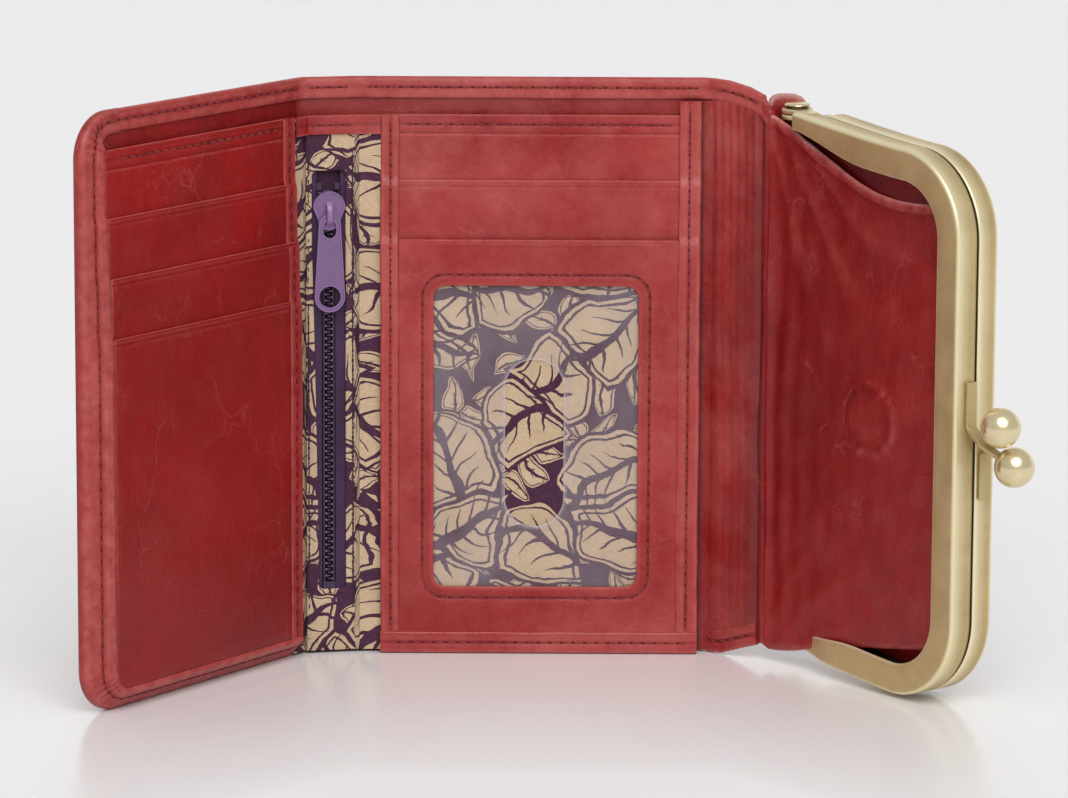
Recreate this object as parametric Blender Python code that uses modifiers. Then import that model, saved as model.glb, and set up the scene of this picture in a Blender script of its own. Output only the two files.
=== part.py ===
"""Trifold wallet with a kiss-lock coin pouch, standing open on its lower edges.

Metres, +Z up. The origin is the middle of the lower edge of the middle cover panel, and the viewer who
looks at the card pockets stands towards -Y. Each panel that folds hangs on an empty on its fold axis.
"""

from math import acos, atan2, cos, degrees, hypot, pi, radians, sin, sqrt

import bmesh
import bpy
from mathutils import Matrix, Vector

MM = 0.001

# Panels and folds
panel_height = 119.0 * MM
interior_drop = 7.5 * MM
interior_width = 65.0 * MM
fold_reach_left = 4.9 * MM
fold_reach_right = 1.8 * MM
left_spine_width = 11.8 * MM
right_spine_width = 14.4 * MM
flap_length = 69.5 * MM
flap_interior_start = 4.5 * MM
flap_corner_radius = 9.0 * MM
left_spine_angle = radians(12.0)
flap_angle = radians(54.0)
right_spine_angle = radians(37.6)
pouch_angle = radians(51.0)

# Thicknesses and the stack of layers in front of the cover
cover_thickness = 1.2 * MM
hem_height = 4.4 * MM
hem_thickness = 0.65 * MM
join_overlap = 0.1 * MM
bill_gap = 0.9 * MM
lining_thickness = 0.3 * MM
slot_thickness = 0.55 * MM
print_thickness = 0.25 * MM
film_thickness = 0.2 * MM
layer_gap = 0.15 * MM
seat_gap = 0.3 * MM
edge_gap = 0.9 * MM
floor_gap = 0.6 * MM

# Borders, card slots and the window
border_width = 3.8 * MM
right_border_width = 4.5 * MM
border_turn_radius = 0.5 * MM
bottom_hem_height = 4.7 * MM
first_slot_drop = 13.3 * MM
slot_step = 12.0 * MM
flap_slot_step = 11.8 * MM
slot_hidden_depth = 20.0 * MM
flap_binding_width = 6.2 * MM
flap_binding_edge_rise = 0.9 * MM
window_left = 10.9 * MM
window_right = 12.5 * MM
window_bottom = 14.2 * MM
window_drop = 9.5 * MM
window_corner_radius = 2.6 * MM
window_margin = 3.2 * MM
thumb_slot_width = 11.9 * MM
thumb_slot_drop = 15.3 * MM
thumb_slot_lift = 12.6 * MM
thumb_slot_offset = 14.6 * MM

# Hidden magnets
magnet_diameter = 14.0 * MM
magnet_thickness = 1.2 * MM
magnet_patch_diameter = 17.0 * MM
magnet_height = 54.5 * MM
magnet_reach = 29.3 * MM

# Zip in the left spine
zip_centre = 6.24 * MM
zip_slot_width = 6.9 * MM
zip_slot_bottom = 13.5 * MM
zip_slot_drop = 11.3 * MM
zip_panel_rise = 2.65 * MM
zip_panel_thickness = 0.35 * MM
zip_tape_width = 3.4 * MM
zip_tape_thickness = 0.25 * MM
zip_tape_rise = 2.2 * MM
zip_tooth_pitch = 2.4 * MM
zip_tooth_length = 0.9 * MM
zip_tooth_thickness = 1.0 * MM
zip_tooth_rise = 1.9 * MM
zip_tooth_cross = 0.35 * MM
zip_core_inner = 0.75 * MM
zip_core_width = 0.5 * MM
zip_core_thickness = 0.6 * MM
zip_part_offset = 1.1 * MM
zip_part_length = 3.0 * MM
zip_stop_height = 1.5 * MM
zip_pocket_rise = 0.85 * MM
slider_drop = 4.4 * MM
slider_length = 7.6 * MM
slider_width_top = 6.6 * MM
slider_width_bottom = 5.8 * MM
slider_plate = 0.4 * MM
slider_back_rise = 1.2 * MM
slider_front_rise = 3.2 * MM
slider_flange = 0.55 * MM
slider_post_width = 0.9 * MM
slider_post_length = 2.4 * MM
slider_arch_width = 1.2 * MM
slider_arch_rise = 1.45 * MM
slider_arch_length = 5.2 * MM
slider_arch_wire = 0.55 * MM
pull_length = 20.0 * MM
pull_thickness = 0.5 * MM
pull_top_width = 4.0 * MM
pull_waist_width = 5.2 * MM
pull_ring_diameter = 6.4 * MM
pull_ring_hole = 3.4 * MM
pull_bar = 0.5 * MM
pull_slot_width = 1.9 * MM
pull_slot_length = 3.0 * MM
spine_band_height = 3.9 * MM

# Coin pouch
pouch_reach = 57.0 * MM
pouch_thickness = 10.8 * MM
pouch_fold_inset = 0.8 * MM
pouch_crease_start = 0.8 * MM
pouch_leather = 1.0 * MM
pouch_leather_inset = 1.8 * MM
pouch_drop = 5.4 * MM
pouch_bottom = 3.5 * MM
pouch_top_drop = 14.2 * MM
pouch_bottom_rise = 8.0 * MM
pouch_fold_start = 1.5 * MM
pouch_front_start = 7.3 * MM
pouch_front_bulge = 0.5 * MM
pouch_back_bulge = 4.0 * MM
pouch_base_start = 1.4 * MM
pouch_base_radius = 3.0 * MM
pouch_base_drop = 5.6 * MM
pouch_base_rise = 2.1 * MM
pouch_lining = 0.25 * MM
pouch_lining_inset = 3.95 * MM
channel_insertion = 3.3 * MM
gusset_thickness = 0.5 * MM
gusset_depth = 5.5 * MM
gusset_end_gap = 9.0 * MM
gusset_clearance = 0.4 * MM
packing_width = 1.6 * MM

# Kiss-lock frame
frame_drop = 8.4 * MM
frame_bottom = 0.9 * MM
frame_top_rise = 1.2 * MM
frame_bottom_rise = 1.4 * MM
frame_half_depth = 5.2 * MM
frame_corner_radius = 17.0 * MM
frame_face_width = 6.3 * MM
frame_back_leg = 4.5 * MM
frame_wall = 0.7 * MM
frame_edge_radius = 1.0 * MM
frame_arm_start = 8.0 * MM
frame_arm_taper = 14.0 * MM
frame_arm_face = 1.2 * MM
frame_joggle = 1.2 * MM
frame_joggle_length = 5.0 * MM
hinge_reach = 3.5 * MM
strap_radius = 2.9 * MM
strap_thickness = 0.9 * MM
strap_end = 10.5 * MM
strap_margin = 0.3 * MM
strap_hole_radius = 1.3 * MM
rivet_radius = 1.0 * MM
rivet_head_radius = 2.8 * MM
rivet_head_height = 0.9 * MM
rivet_tail_radius = 2.1 * MM
rivet_tail_height = 0.6 * MM
rivet_gap = 0.2 * MM

# Ball clasp
ball_diameter = 8.0 * MM
ball_spacing = 8.3 * MM
ball_reach = 9.2 * MM
ball_lean = 3.9 * MM
clasp_strip_width = 2.4 * MM
clasp_strip_thickness = 0.9 * MM
clasp_drop = 1.35 * MM
clasp_base_length = 9.0 * MM
clasp_base_lift = 7.4 * MM
clasp_base_edge = 0.4 * MM
clasp_tip_depth = 2.2 * MM
clasp_tip_gap = 0.15 * MM

# Overrun of cutters past what they cut
overrun = 1.0 * MM

# Sizes that follow from those above
interior_height = panel_height - interior_drop
first_slot_height = interior_height - first_slot_drop
window_width = interior_width - window_left - window_right
window_height = first_slot_height - slot_step - window_drop - window_bottom
thumb_slot_height = window_height - thumb_slot_lift - thumb_slot_drop
zip_slot_top = interior_height - zip_slot_drop
slider_top = zip_slot_top - slider_drop
pouch_top = panel_height - pouch_drop
pouch_base_top = pouch_top - pouch_base_drop
pouch_base_bottom = pouch_bottom + pouch_base_rise
frame_top = panel_height - frame_drop
hinge_top = frame_top + frame_top_rise
hinge_bottom = frame_bottom + frame_bottom_rise
gusset_end = pouch_reach - gusset_end_gap

LEATHER = (0.32, 0.022, 0.028, 1.0)
LEATHER_DARK = (0.2, 0.014, 0.018, 1.0)
LINING_PRINT = (0.32, 0.22, 0.19, 1.0)
LINING_PLAIN = (0.08, 0.025, 0.06, 1.0)
BRASS = (0.5, 0.42, 0.25, 1.0)
ZIP_TAPE = (0.1, 0.04, 0.15, 1.0)
ZIP_TEETH = (0.02, 0.012, 0.03, 1.0)
ZIP_PULL = (0.24, 0.14, 0.3, 1.0)
STEEL = (0.35, 0.35, 0.37, 1.0)
FILM = (0.75, 0.75, 0.78, 1.0)


def clear_scene():
    for obj in list(bpy.data.objects):
        bpy.data.objects.remove(obj, do_unlink=True)


def material(name, colour, roughness, metallic=0.0):
    made = bpy.data.materials.get(name)
    if made is None:
        made = bpy.data.materials.new(name)
        made.use_nodes = True
        shader = made.node_tree.nodes["Principled BSDF"]
        shader.inputs["Base Color"].default_value = colour
        shader.inputs["Roughness"].default_value = roughness
        shader.inputs["Metallic"].default_value = metallic
    return made


clear_scene()
parts = bpy.data.collections.new("kiss_lock_wallet")
cutters = bpy.data.collections.new("cutters")
bpy.context.scene.collection.children.link(parts)
bpy.context.scene.collection.children.link(cutters)

leather = material("leather", LEATHER, 0.35)
leather_dark = material("leather_inner", LEATHER_DARK, 0.45)
print_fabric = material("printed_lining", LINING_PRINT, 0.8)
plain_fabric = material("plain_lining", LINING_PLAIN, 0.85)
brass = material("antique_brass", BRASS, 0.3, 1.0)
tape_fabric = material("zip_tape", ZIP_TAPE, 0.8)
teeth_nylon = material("zip_teeth", ZIP_TEETH, 0.4)
pull_enamel = material("pull_enamel", ZIP_PULL, 0.3)
magnet_steel = material("magnet_steel", STEEL, 0.4, 1.0)
clear_film = material("clear_film", FILM, 0.1)


def axis_empty(name, place, angle, parent=None):
    """An empty on a fold axis, turned about Z, whose children keep their own local places."""
    empty = bpy.data.objects.new(name, None)
    parts.objects.link(empty)
    empty.parent = parent
    empty.location = place
    empty.rotation_euler = (0.0, 0.0, angle)
    return empty


def add_object(name, data, parent, surface):
    obj = bpy.data.objects.new(name, data)
    parts.objects.link(obj)
    obj.parent = parent
    if not data.materials:
        data.materials.append(surface)
    return obj


def arc(centre, radius, start, end, steps):
    """Points on an arc, from start to end in degrees."""
    points = []
    for i in range(steps + 1):
        turn = radians(start + (end - start) * i / steps)
        points.append((centre[0] + radius * cos(turn), centre[1] + radius * sin(turn)))
    return points


def spread(start, end, count):
    return [start + (end - start) * i / count for i in range(count + 1)]


def rectangle(left, bottom, right, top, radius=0.0, steps=5):
    """A rectangle's outline, counter-clockwise, with round corners where a radius is given."""
    if not radius:
        return [(left, bottom), (right, bottom), (right, top), (left, top)]
    outline = []
    corners = ((right, bottom, -90), (right, top, 0), (left, top, 90), (left, bottom, 180))
    for x, z, start in corners:
        inward_x = -radius if x == right else radius
        inward_z = -radius if z == top else radius
        outline += arc((x + inward_x, z + inward_z), radius, start, start + 90, steps)
    return outline


def outline_curve(name, loops, thickness):
    """A flat 2D curve in its own XY plane, extruded by half the thickness to each side."""
    curve = bpy.data.curves.new(name, "CURVE")
    curve.dimensions = "2D"
    curve.fill_mode = "BOTH"
    curve.extrude = thickness / 2
    for loop in loops:
        spline = curve.splines.new("POLY")
        spline.points.add(len(loop) - 1)
        for point, (x, y) in zip(spline.points, loop):
            point.co = (x, y, 0.0, 1.0)
        spline.use_cyclic_u = True
    return curve


def plate(name, loops, low, high, parent, surface):
    """A plate in the panel's XZ plane. low and high are its faces' local y."""
    obj = add_object(name, outline_curve(name, loops, high - low), parent, surface)
    obj.rotation_euler = (pi / 2, 0.0, 0.0)
    obj.location = (0.0, (low + high) / 2, 0.0)
    return obj


def bar_along_z(name, loop, low, high, parent, surface):
    """An outline in the local XY plane, extruded along Z between low and high."""
    obj = add_object(name, outline_curve(name, [loop], high - low), parent, surface)
    obj.location = (0.0, 0.0, (low + high) / 2)
    return obj


def bar_along_x(name, loop, low, high, parent, surface):
    """An outline of (y, z) points, extruded along X between low and high."""
    obj = add_object(name, outline_curve(name, [loop], high - low), parent, surface)
    obj.rotation_euler = (pi / 2, 0.0, pi / 2)
    obj.location = ((low + high) / 2, 0.0, 0.0)
    return obj


def as_mesh(obj):
    """The same object as a welded mesh, which takes a Boolean. Its matrix is baked into the mesh."""
    bpy.context.view_layer.update()
    graph = bpy.context.evaluated_depsgraph_get()
    mesh = bpy.data.meshes.new_from_object(obj.evaluated_get(graph))
    local = obj.matrix_local.copy()
    shape = bmesh.new()
    shape.from_mesh(mesh)
    bmesh.ops.remove_doubles(shape, verts=shape.verts, dist=MM * MM)
    bmesh.ops.transform(shape, matrix=local, verts=shape.verts)
    bmesh.ops.recalc_face_normals(shape, faces=shape.faces)
    shape.to_mesh(mesh)
    shape.free()
    name, parent, collection = obj.name, obj.parent, obj.users_collection[0]
    bpy.data.objects.remove(obj, do_unlink=True)
    made = bpy.data.objects.new(name, mesh)
    collection.objects.link(made)
    made.parent = parent
    return made


def make_cutter(obj):
    """Takes an object out of the render, as a tool for Boolean modifiers."""
    for collection in list(obj.users_collection):
        collection.objects.unlink(obj)
    cutters.objects.link(obj)
    obj.hide_render = True
    obj.display_type = "WIRE"
    return obj


def boolean(obj, tool, operation):
    modifier = obj.modifiers.new(tool.name, "BOOLEAN")
    modifier.operation = operation
    modifier.object = make_cutter(tool)
    return obj


def mesh_object(name, shape, parent, surface):
    mesh = bpy.data.meshes.new(name)
    bmesh.ops.recalc_face_normals(shape, faces=shape.faces)
    shape.to_mesh(mesh)
    shape.free()
    return add_object(name, mesh, parent, surface)


def loft(name, rows, parent, surface, closed=True):
    """A skin over rows of points. A closed section gets end caps, an open one stays a sheet."""
    shape = bmesh.new()
    grid = [[shape.verts.new(point) for point in row] for row in rows]
    around = len(rows[0])
    spans = around if closed else around - 1
    for first, second in zip(grid, grid[1:]):
        for i in range(spans):
            j = (i + 1) % around
            shape.faces.new((first[i], first[j], second[j], second[i]))
    if closed:
        shape.faces.new(grid[0][::-1])
        shape.faces.new(grid[-1])
    return mesh_object(name, shape, parent, surface)


def thicken(obj, thickness, offset=0.0):
    modifier = obj.modifiers.new("thickness", "SOLIDIFY")
    modifier.thickness = thickness
    modifier.offset = offset
    modifier.use_even_offset = True
    return obj


def smooth(obj, angle=40.0):
    obj.data.shade_smooth()
    obj.data.set_sharp_from_angle(angle=radians(angle))
    return obj


def box_shape(shape, low, high):
    """Adds a box between two corners to a bmesh."""
    middle = [(a + b) / 2 for a, b in zip(low, high)]
    size = [b - a for a, b in zip(low, high)]
    place = Matrix.Translation(middle) @ Matrix.Diagonal((*size, 1.0))
    bmesh.ops.create_cube(shape, size=1.0, matrix=place)


def box(name, low, high, parent, surface):
    shape = bmesh.new()
    box_shape(shape, low, high)
    return mesh_object(name, shape, parent, surface)


class Panel:
    """A wallet panel: its empty, and which local y side its pockets are on."""

    def __init__(self, empty, inner_side):
        self.empty = empty
        self.inner_side = inner_side

    def span(self, low_rise, high_rise):
        """Local y limits of a layer, from its rises over the cover's middle plane."""
        ends = (self.inner_side * low_rise, self.inner_side * high_rise)
        return min(ends), max(ends)

    def plate(self, name, loops, low_rise, high_rise, surface):
        return plate(name, loops, *self.span(low_rise, high_rise), self.empty, surface)

    def turned(self, points):
        """(x, rise) points as local (x, y)."""
        return [(x, self.inner_side * rise) for x, rise in points]

    def turned_section(self, points):
        """(rise, z) points as local (y, z)."""
        return [(self.inner_side * rise, z) for rise, z in points]


half_cover = cover_thickness / 2
fold_setback = half_cover + seat_gap
hem_setback = half_cover + hem_thickness + seat_gap
bill_rise = half_cover + bill_gap
stack_rises = [bill_rise + lining_thickness + layer_gap]
for _ in range(3):
    stack_rises.append(stack_rises[-1] + slot_thickness + layer_gap)
print_rise = stack_rises[2]
film_rise = print_rise + print_thickness + layer_gap
window_rise = film_rise + film_thickness + layer_gap
middle_face = window_rise + slot_thickness
flap_face = stack_rises[3] + slot_thickness

middle_left = -interior_width / 2
middle_right = interior_width / 2
left_fold_x = middle_left - fold_reach_left
right_fold_x = middle_right + fold_reach_right

middle = Panel(None, -1)
left_axis = axis_empty("left_spine_axis", (left_fold_x, 0.0, 0.0), pi + left_spine_angle)
left_spine = Panel(left_axis, 1)
flap_turn = flap_angle - left_spine_angle
flap_axis = axis_empty("flap_axis", (left_spine_width, 0.0, 0.0), flap_turn, left_axis)
flap = Panel(flap_axis, 1)
right_axis = axis_empty("right_spine_axis", (right_fold_x, 0.0, 0.0), -right_spine_angle)
right_spine = Panel(right_axis, -1)
pouch_turn = right_spine_angle - pouch_angle
pouch_axis = axis_empty("pouch_axis", (right_spine_width, 0.0, 0.0), pouch_turn, right_axis)


def cover_slab(name, panel, stations, round_start, round_end):
    """Cover leather over (x, low z, high z) stations. A round end is centred on the fold axis it ends at."""
    bead = [(half_cover * sin(turn), half_cover * cos(turn)) for turn in spread(0.0, radians(80.0), 4)[1:]]
    slab = [(x, half_cover, low, high) for x, low, high in stations]
    if round_start:
        x, low, high = stations[0]
        slab = [(x - reach, half, low, high) for reach, half in bead[::-1]] + slab
    if round_end:
        x, low, high = stations[-1]
        slab += [(x + reach, half, low, high) for reach, half in bead]
    rows = []
    for x, half, low, high in slab:
        rows.append([(x, -half, low), (x, half, low), (x, half, high), (x, -half, high)])
    return smooth(loft(name, rows, panel.empty, leather))


def add_hem(body, panel, name, outline):
    """The cover's edge turned in and sewn down: one more layer on its inner side."""
    low, high = half_cover - join_overlap, half_cover + hem_thickness
    boolean(body, as_mesh(panel.plate(name, [outline], low, high, leather)), "UNION")


def cover_middle():
    stations = [(left_fold_x, 0.0, panel_height), (right_fold_x, 0.0, panel_height)]
    body = cover_slab("cover_middle", middle, stations, True, True)
    hem = rectangle(left_fold_x + hem_setback, panel_height - hem_height,
                    right_fold_x - hem_setback, panel_height)
    add_hem(body, middle, "middle_hem", hem)


def cover_spine_left():
    stations = [(fold_setback, 0.0, panel_height), (left_spine_width, 0.0, panel_height)]
    body = cover_slab("cover_spine_left", left_spine, stations, False, True)
    hem = rectangle(hem_setback, panel_height - hem_height, left_spine_width - hem_setback, panel_height)
    add_hem(body, left_spine, "left_spine_hem", hem)


def flap_outline(inset, start, top):
    """The flap's outline inside its free edge, with round outer corners."""
    right = flap_length - inset
    radius = flap_corner_radius - inset
    outline = [(start, inset)]
    outline += arc((right - radius, inset + radius), radius, -90, 0, 8)
    outline += arc((right - radius, top - radius), radius, 0, 90, 8)
    outline.append((start, top))
    return outline


def cover_flap():
    outline = flap_outline(0.0, fold_setback, panel_height)
    body = as_mesh(flap.plate("cover_flap", [outline], -half_cover, half_cover, leather))
    foot = panel_height - hem_height
    radius = flap_corner_radius
    reach = radius - hem_height
    corner_turn = degrees(acos(reach / radius))
    hem_arc = arc((flap_length - radius, panel_height - radius), radius, 90 - corner_turn, 90, 5)
    add_hem(body, flap, "flap_hem", [(hem_setback, foot)] + hem_arc + [(hem_setback, panel_height)])


def border(name, panel, start, width, low, high, face, wall_side):
    """An L-shaped binding: a strip on the face of the stack and a wall down its edge."""
    foot = bill_rise + lining_thickness + layer_gap
    radius = border_turn_radius
    if wall_side < 0:
        outer, inner, far = start, start + slot_thickness, start + width
        turn = arc((outer + radius, face - radius), radius, 180, 90, 3)
    else:
        outer, inner, far = start + width, start + width - slot_thickness, start
        turn = arc((outer - radius, face - radius), radius, 0, 90, 3)
    points = [(outer, foot)] + turn
    points += [(far, face), (far, face - slot_thickness), (inner, face - slot_thickness), (inner, foot)]
    bar_along_z(name, panel.turned(points), low, high, panel.empty, leather)


def bottom_hem(name, panel, start, end, face):
    """The cover's lower edge turned up over the stack: a J section along the panel."""
    foot = half_cover + seat_gap
    radius = border_turn_radius
    points = [(foot, 0.0)] + arc((face - radius, radius), radius, -90, 0, 3)
    points += [(face, bottom_hem_height), (face - slot_thickness, bottom_hem_height)]
    points += [(face - slot_thickness, slot_thickness), (foot, slot_thickness)]
    bar_along_x(name, panel.turned_section(points), start, end, panel.empty, leather)


def middle_pockets():
    left = middle_left + edge_gap
    right = middle_right - edge_gap
    low = floor_gap + layer_gap
    reach = zip_panel_rise + zip_panel_thickness + seat_gap
    divider = rectangle(left_fold_x + reach, low, right, interior_height)
    middle.plate("bill_divider_middle", [divider], bill_rise, bill_rise + lining_thickness, print_fabric)

    slot_foot = first_slot_height - slot_step - slot_hidden_depth
    band = rectangle(left, slot_foot, right, interior_height)
    middle.plate("top_band_middle", [band], stack_rises[0], stack_rises[0] + slot_thickness, leather)
    slot = rectangle(left, slot_foot, right, first_slot_height)
    middle.plate("card_slot_middle_1", [slot], stack_rises[1], stack_rises[1] + slot_thickness, leather)

    print_top = first_slot_height - slot_step - layer_gap
    backing = rectangle(left, low, right, print_top)
    middle.plate("window_print_lining", [backing], print_rise, print_rise + print_thickness, print_fabric)

    window_x = middle_left + window_left
    film_edge = rectangle(window_x - window_margin, window_bottom - window_margin,
                          window_x + window_width + window_margin,
                          window_bottom + window_height + window_margin)
    thumb_x = window_x + thumb_slot_offset
    thumb_z = window_bottom + thumb_slot_lift
    thumb = rectangle(thumb_x, thumb_z, thumb_x + thumb_slot_width, thumb_z + thumb_slot_height,
                      thumb_slot_width / 2, 8)
    middle.plate("window_film", [film_edge, thumb], film_rise, film_rise + film_thickness, clear_film)

    panel_left = middle_left + border_width + layer_gap
    panel_right = middle_right - right_border_width - layer_gap
    panel_edge = rectangle(panel_left, bottom_hem_height + layer_gap, panel_right,
                           first_slot_height - slot_step)
    window = rectangle(window_x, window_bottom, window_x + window_width,
                       window_bottom + window_height, window_corner_radius)
    middle.plate("window_pocket_panel", [panel_edge, window], window_rise, middle_face, leather)

    low = bottom_hem_height + layer_gap
    border("border_middle_left", middle, middle_left, border_width, low, interior_height, middle_face, -1)
    start = middle_right - right_border_width
    high = panel_height - hem_height - layer_gap
    border("border_middle_right", middle, start, right_border_width, low, high, middle_face, 1)
    bottom_hem("bottom_hem_middle", middle, middle_left, middle_right, middle_face)


def flap_pockets():
    left = flap_interior_start + edge_gap
    right = flap_length - flap_binding_width - layer_gap
    low = floor_gap + layer_gap
    divider = flap_outline(floor_gap + hem_thickness + layer_gap, flap_interior_start, interior_height)
    flap.plate("bill_divider_flap", [divider], bill_rise, bill_rise + lining_thickness, print_fabric)

    magnet_top = magnet_height + magnet_diameter / 2
    slot_foot = magnet_top + layer_gap
    backing = rectangle(left, low + bottom_hem_height, right, interior_height)
    flap.plate("slot_backing_flap", [backing], stack_rises[0], stack_rises[0] + slot_thickness, leather)
    for i in range(2):
        name = "card_slot_flap_%d" % (i + 1)
        slot = rectangle(left, slot_foot, right, first_slot_height - flap_slot_step * i)
        rise = stack_rises[i + 1]
        flap.plate(name, [slot], rise, rise + slot_thickness, leather)
    pocket_left = flap_interior_start + border_width + layer_gap
    pocket_top = first_slot_height - 2 * flap_slot_step
    pocket = [(pocket_left, pocket_top), (pocket_left, bottom_hem_height + layer_gap)]
    for turn in spread(-pi / 2, 0.0, 6):
        radius = flap_corner_radius - flap_binding_reach(cos(turn)) - layer_gap
        pocket.append((flap_length - flap_corner_radius + radius * cos(turn),
                       flap_corner_radius + radius * sin(turn)))
    pocket.append((right, pocket_top))
    flap.plate("pocket_panel_flap", [pocket], stack_rises[3], flap_face, leather)

    low = bottom_hem_height + layer_gap
    border("border_flap", flap, flap_interior_start, border_width, low, interior_height, flap_face, -1)


def flap_binding_reach(share):
    """The binding's width: as wide as the bottom hem below, wider up the free side."""
    return bottom_hem_height + (flap_binding_width - bottom_hem_height) * share


def binding_flap():
    """The turned edge round the free side: it slopes from the thin outer edge up to the pocket's face."""
    path = []
    radius = flap_corner_radius
    path.append(((flap_interior_start, 0.0), (0.0, 1.0)))
    for centre_z, start in ((radius, -90), (panel_height - radius, 0)):
        last = 90 if start < 0 else degrees(acos((radius - hem_height) / radius)) * 0.5
        steps = 8 if start < 0 else 4
        for i in range(steps + 1):
            turn = radians(start + last * i / steps)
            outward = (cos(turn), sin(turn))
            point = (flap_length - radius + radius * outward[0], centre_z + radius * outward[1])
            path.append((point, (-outward[0], -outward[1])))
    half_wall = slot_thickness / 2
    inner_rise = flap_face - half_wall
    outer_rise = half_cover + flap_binding_edge_rise
    rows = []
    for (x, z), (inward_x, inward_z) in path:
        width = flap_binding_reach(abs(inward_x))
        row = []
        for reach, rise in ((half_wall, half_cover + seat_gap), (half_wall, outer_rise),
                            (width / 2, (inner_rise + outer_rise) / 2 + flap_binding_edge_rise / 2),
                            (width - half_wall, inner_rise)):
            row.append((x + inward_x * reach, rise, z + inward_z * reach))
        rows.append(row)
    sheet = loft("binding_flap", rows, flap_axis, leather, closed=False)
    thicken(smooth(sheet), slot_thickness)


def magnet_disc(name, panel_empty, x, y_low, y_high, z, diameter, surface):
    shape = bmesh.new()
    place = Matrix.Translation((x, (y_low + y_high) / 2, z)) @ Matrix.Rotation(pi / 2, 4, "X")
    bmesh.ops.create_cone(shape, cap_ends=True, segments=32, radius1=diameter / 2,
                          radius2=diameter / 2, depth=y_high - y_low, matrix=place)
    smooth(mesh_object(name, shape, panel_empty, surface))


def magnet_flap():
    """It meets the pouch's magnet when the wallet is closed."""
    reach = right_fold_x - left_fold_x - magnet_reach
    low = stack_rises[1]
    magnet_disc("magnet_flap", flap_axis, reach, low, low + magnet_thickness, magnet_height,
                magnet_diameter, magnet_steel)


def chain_offset(z):
    """How far the two rows of teeth stand apart at a height, where they part inside the slider."""
    low = slider_top - slider_length + slider_length * 0.3
    share = min(max((z - low) / zip_part_length, 0.0), 1.0)
    return zip_part_offset * share * share * (3 - 2 * share)


def zip_chain():
    """Two tapes and two rows of teeth that mesh on the zip's centre line."""
    chain_low = zip_slot_bottom + zip_stop_height + layer_gap
    chain_high = slider_top + layer_gap
    tape_low = zip_slot_bottom - zip_stop_height
    tape_high = zip_slot_top + zip_stop_height
    heights = [chain_low]
    stations = 12
    bend = slider_top - slider_length
    for i in range(stations + 1):
        heights.append(bend + (chain_high - bend) * i / stations)
    core_outer = zip_core_inner + zip_core_width
    core_rise = zip_tooth_rise + zip_tooth_thickness / 2
    for side, name in ((-1, "right"), (1, "left")):
        rows = []
        for z in heights:
            near = zip_centre + side * (zip_core_inner + chain_offset(z))
            far = zip_centre + side * (core_outer + chain_offset(z))
            low = core_rise - zip_core_thickness / 2
            high = core_rise + zip_core_thickness / 2
            rows.append([(near, low, z), (far, low, z), (far, high, z), (near, high, z)])
        core = loft("zip_teeth_" + name, rows, left_axis, teeth_nylon)
        teeth = bmesh.new()
        z = chain_low + zip_tooth_length / 2
        if side > 0:
            z += zip_tooth_pitch / 2
        while z + zip_tooth_length / 2 < chain_high:
            apart = chain_offset(z)
            tip = zip_centre + side * (apart - zip_tooth_cross)
            root = zip_centre + side * (apart + zip_core_inner + zip_core_width / 2)
            low = (min(tip, root), zip_tooth_rise, z - zip_tooth_length / 2)
            high = (max(tip, root), zip_tooth_rise + zip_tooth_thickness, z + zip_tooth_length / 2)
            box_shape(teeth, low, high)
            z += zip_tooth_pitch
        row_tool = mesh_object("zip_tooth_row_" + name, teeth, left_axis, teeth_nylon)
        boolean(core, row_tool, "UNION")

        outline = []
        for z in [tape_low] + heights[1:] + [tape_high]:
            outline.append((zip_centre + side * (core_outer + layer_gap + chain_offset(z)), z))
        edge = zip_centre + side * (core_outer + zip_tape_width)
        outline += [(edge, tape_high), (edge, tape_low)]
        left_spine.plate("zip_tape_" + name, [outline], zip_tape_rise,
                         zip_tape_rise + zip_tape_thickness, tape_fabric)
        stop_low = chain_high + layer_gap
        reach = zip_core_inner + zip_part_offset
        near = zip_centre + side * (reach - zip_core_width)
        far = zip_centre + side * (reach + zip_core_width)
        box("zip_stop_top_" + name,
            (min(near, far), zip_tooth_rise - layer_gap, stop_low),
            (max(near, far), zip_tape_rise - layer_gap / 2, stop_low + zip_stop_height),
            left_axis, brass)
    half = core_outer
    box("zip_stop_bottom",
        (zip_centre - half, zip_tooth_rise, zip_slot_bottom + layer_gap),
        (zip_centre + half, zip_tooth_rise + zip_tooth_thickness, zip_slot_bottom + zip_stop_height),
        left_axis, brass)


def zip_panel():
    """The printed spine lining with the zip's slot, the pocket behind it and the leather band on top."""
    left, right = fold_setback, left_spine_width - fold_setback
    low = floor_gap
    edge = rectangle(left, low, right, interior_height)
    slot = rectangle(zip_centre - zip_slot_width / 2, zip_slot_bottom,
                     zip_centre + zip_slot_width / 2, zip_slot_top, zip_slot_width / 6, 4)
    high_rise = zip_panel_rise + zip_panel_thickness
    left_spine.plate("zip_panel", [edge, slot], zip_panel_rise, high_rise, print_fabric)
    pocket = rectangle(left, low, right, interior_height)
    left_spine.plate("zip_pocket_lining", [pocket], zip_pocket_rise, zip_pocket_rise + print_thickness,
                     plain_fabric)
    band_rise = high_rise + layer_gap
    band = rectangle(left + flap_binding_edge_rise, interior_height - spine_band_height, right, interior_height)
    left_spine.plate("spine_top_band", [band], band_rise, band_rise + slot_thickness, leather)


slider_axis_z = slider_top - slider_arch_length + pull_bar
slider_face = slider_front_rise + slider_plate
pull_rise = slider_face + layer_gap
slider_axis = axis_empty("zip_slider_axis", (zip_centre, 0.0, 0.0), 0.0, left_axis)
pull_centre_rise = pull_rise + pull_thickness / 2
pull_axis = axis_empty("zip_pull_axis", (0.0, pull_centre_rise, slider_axis_z), 0.0, slider_axis)


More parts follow.
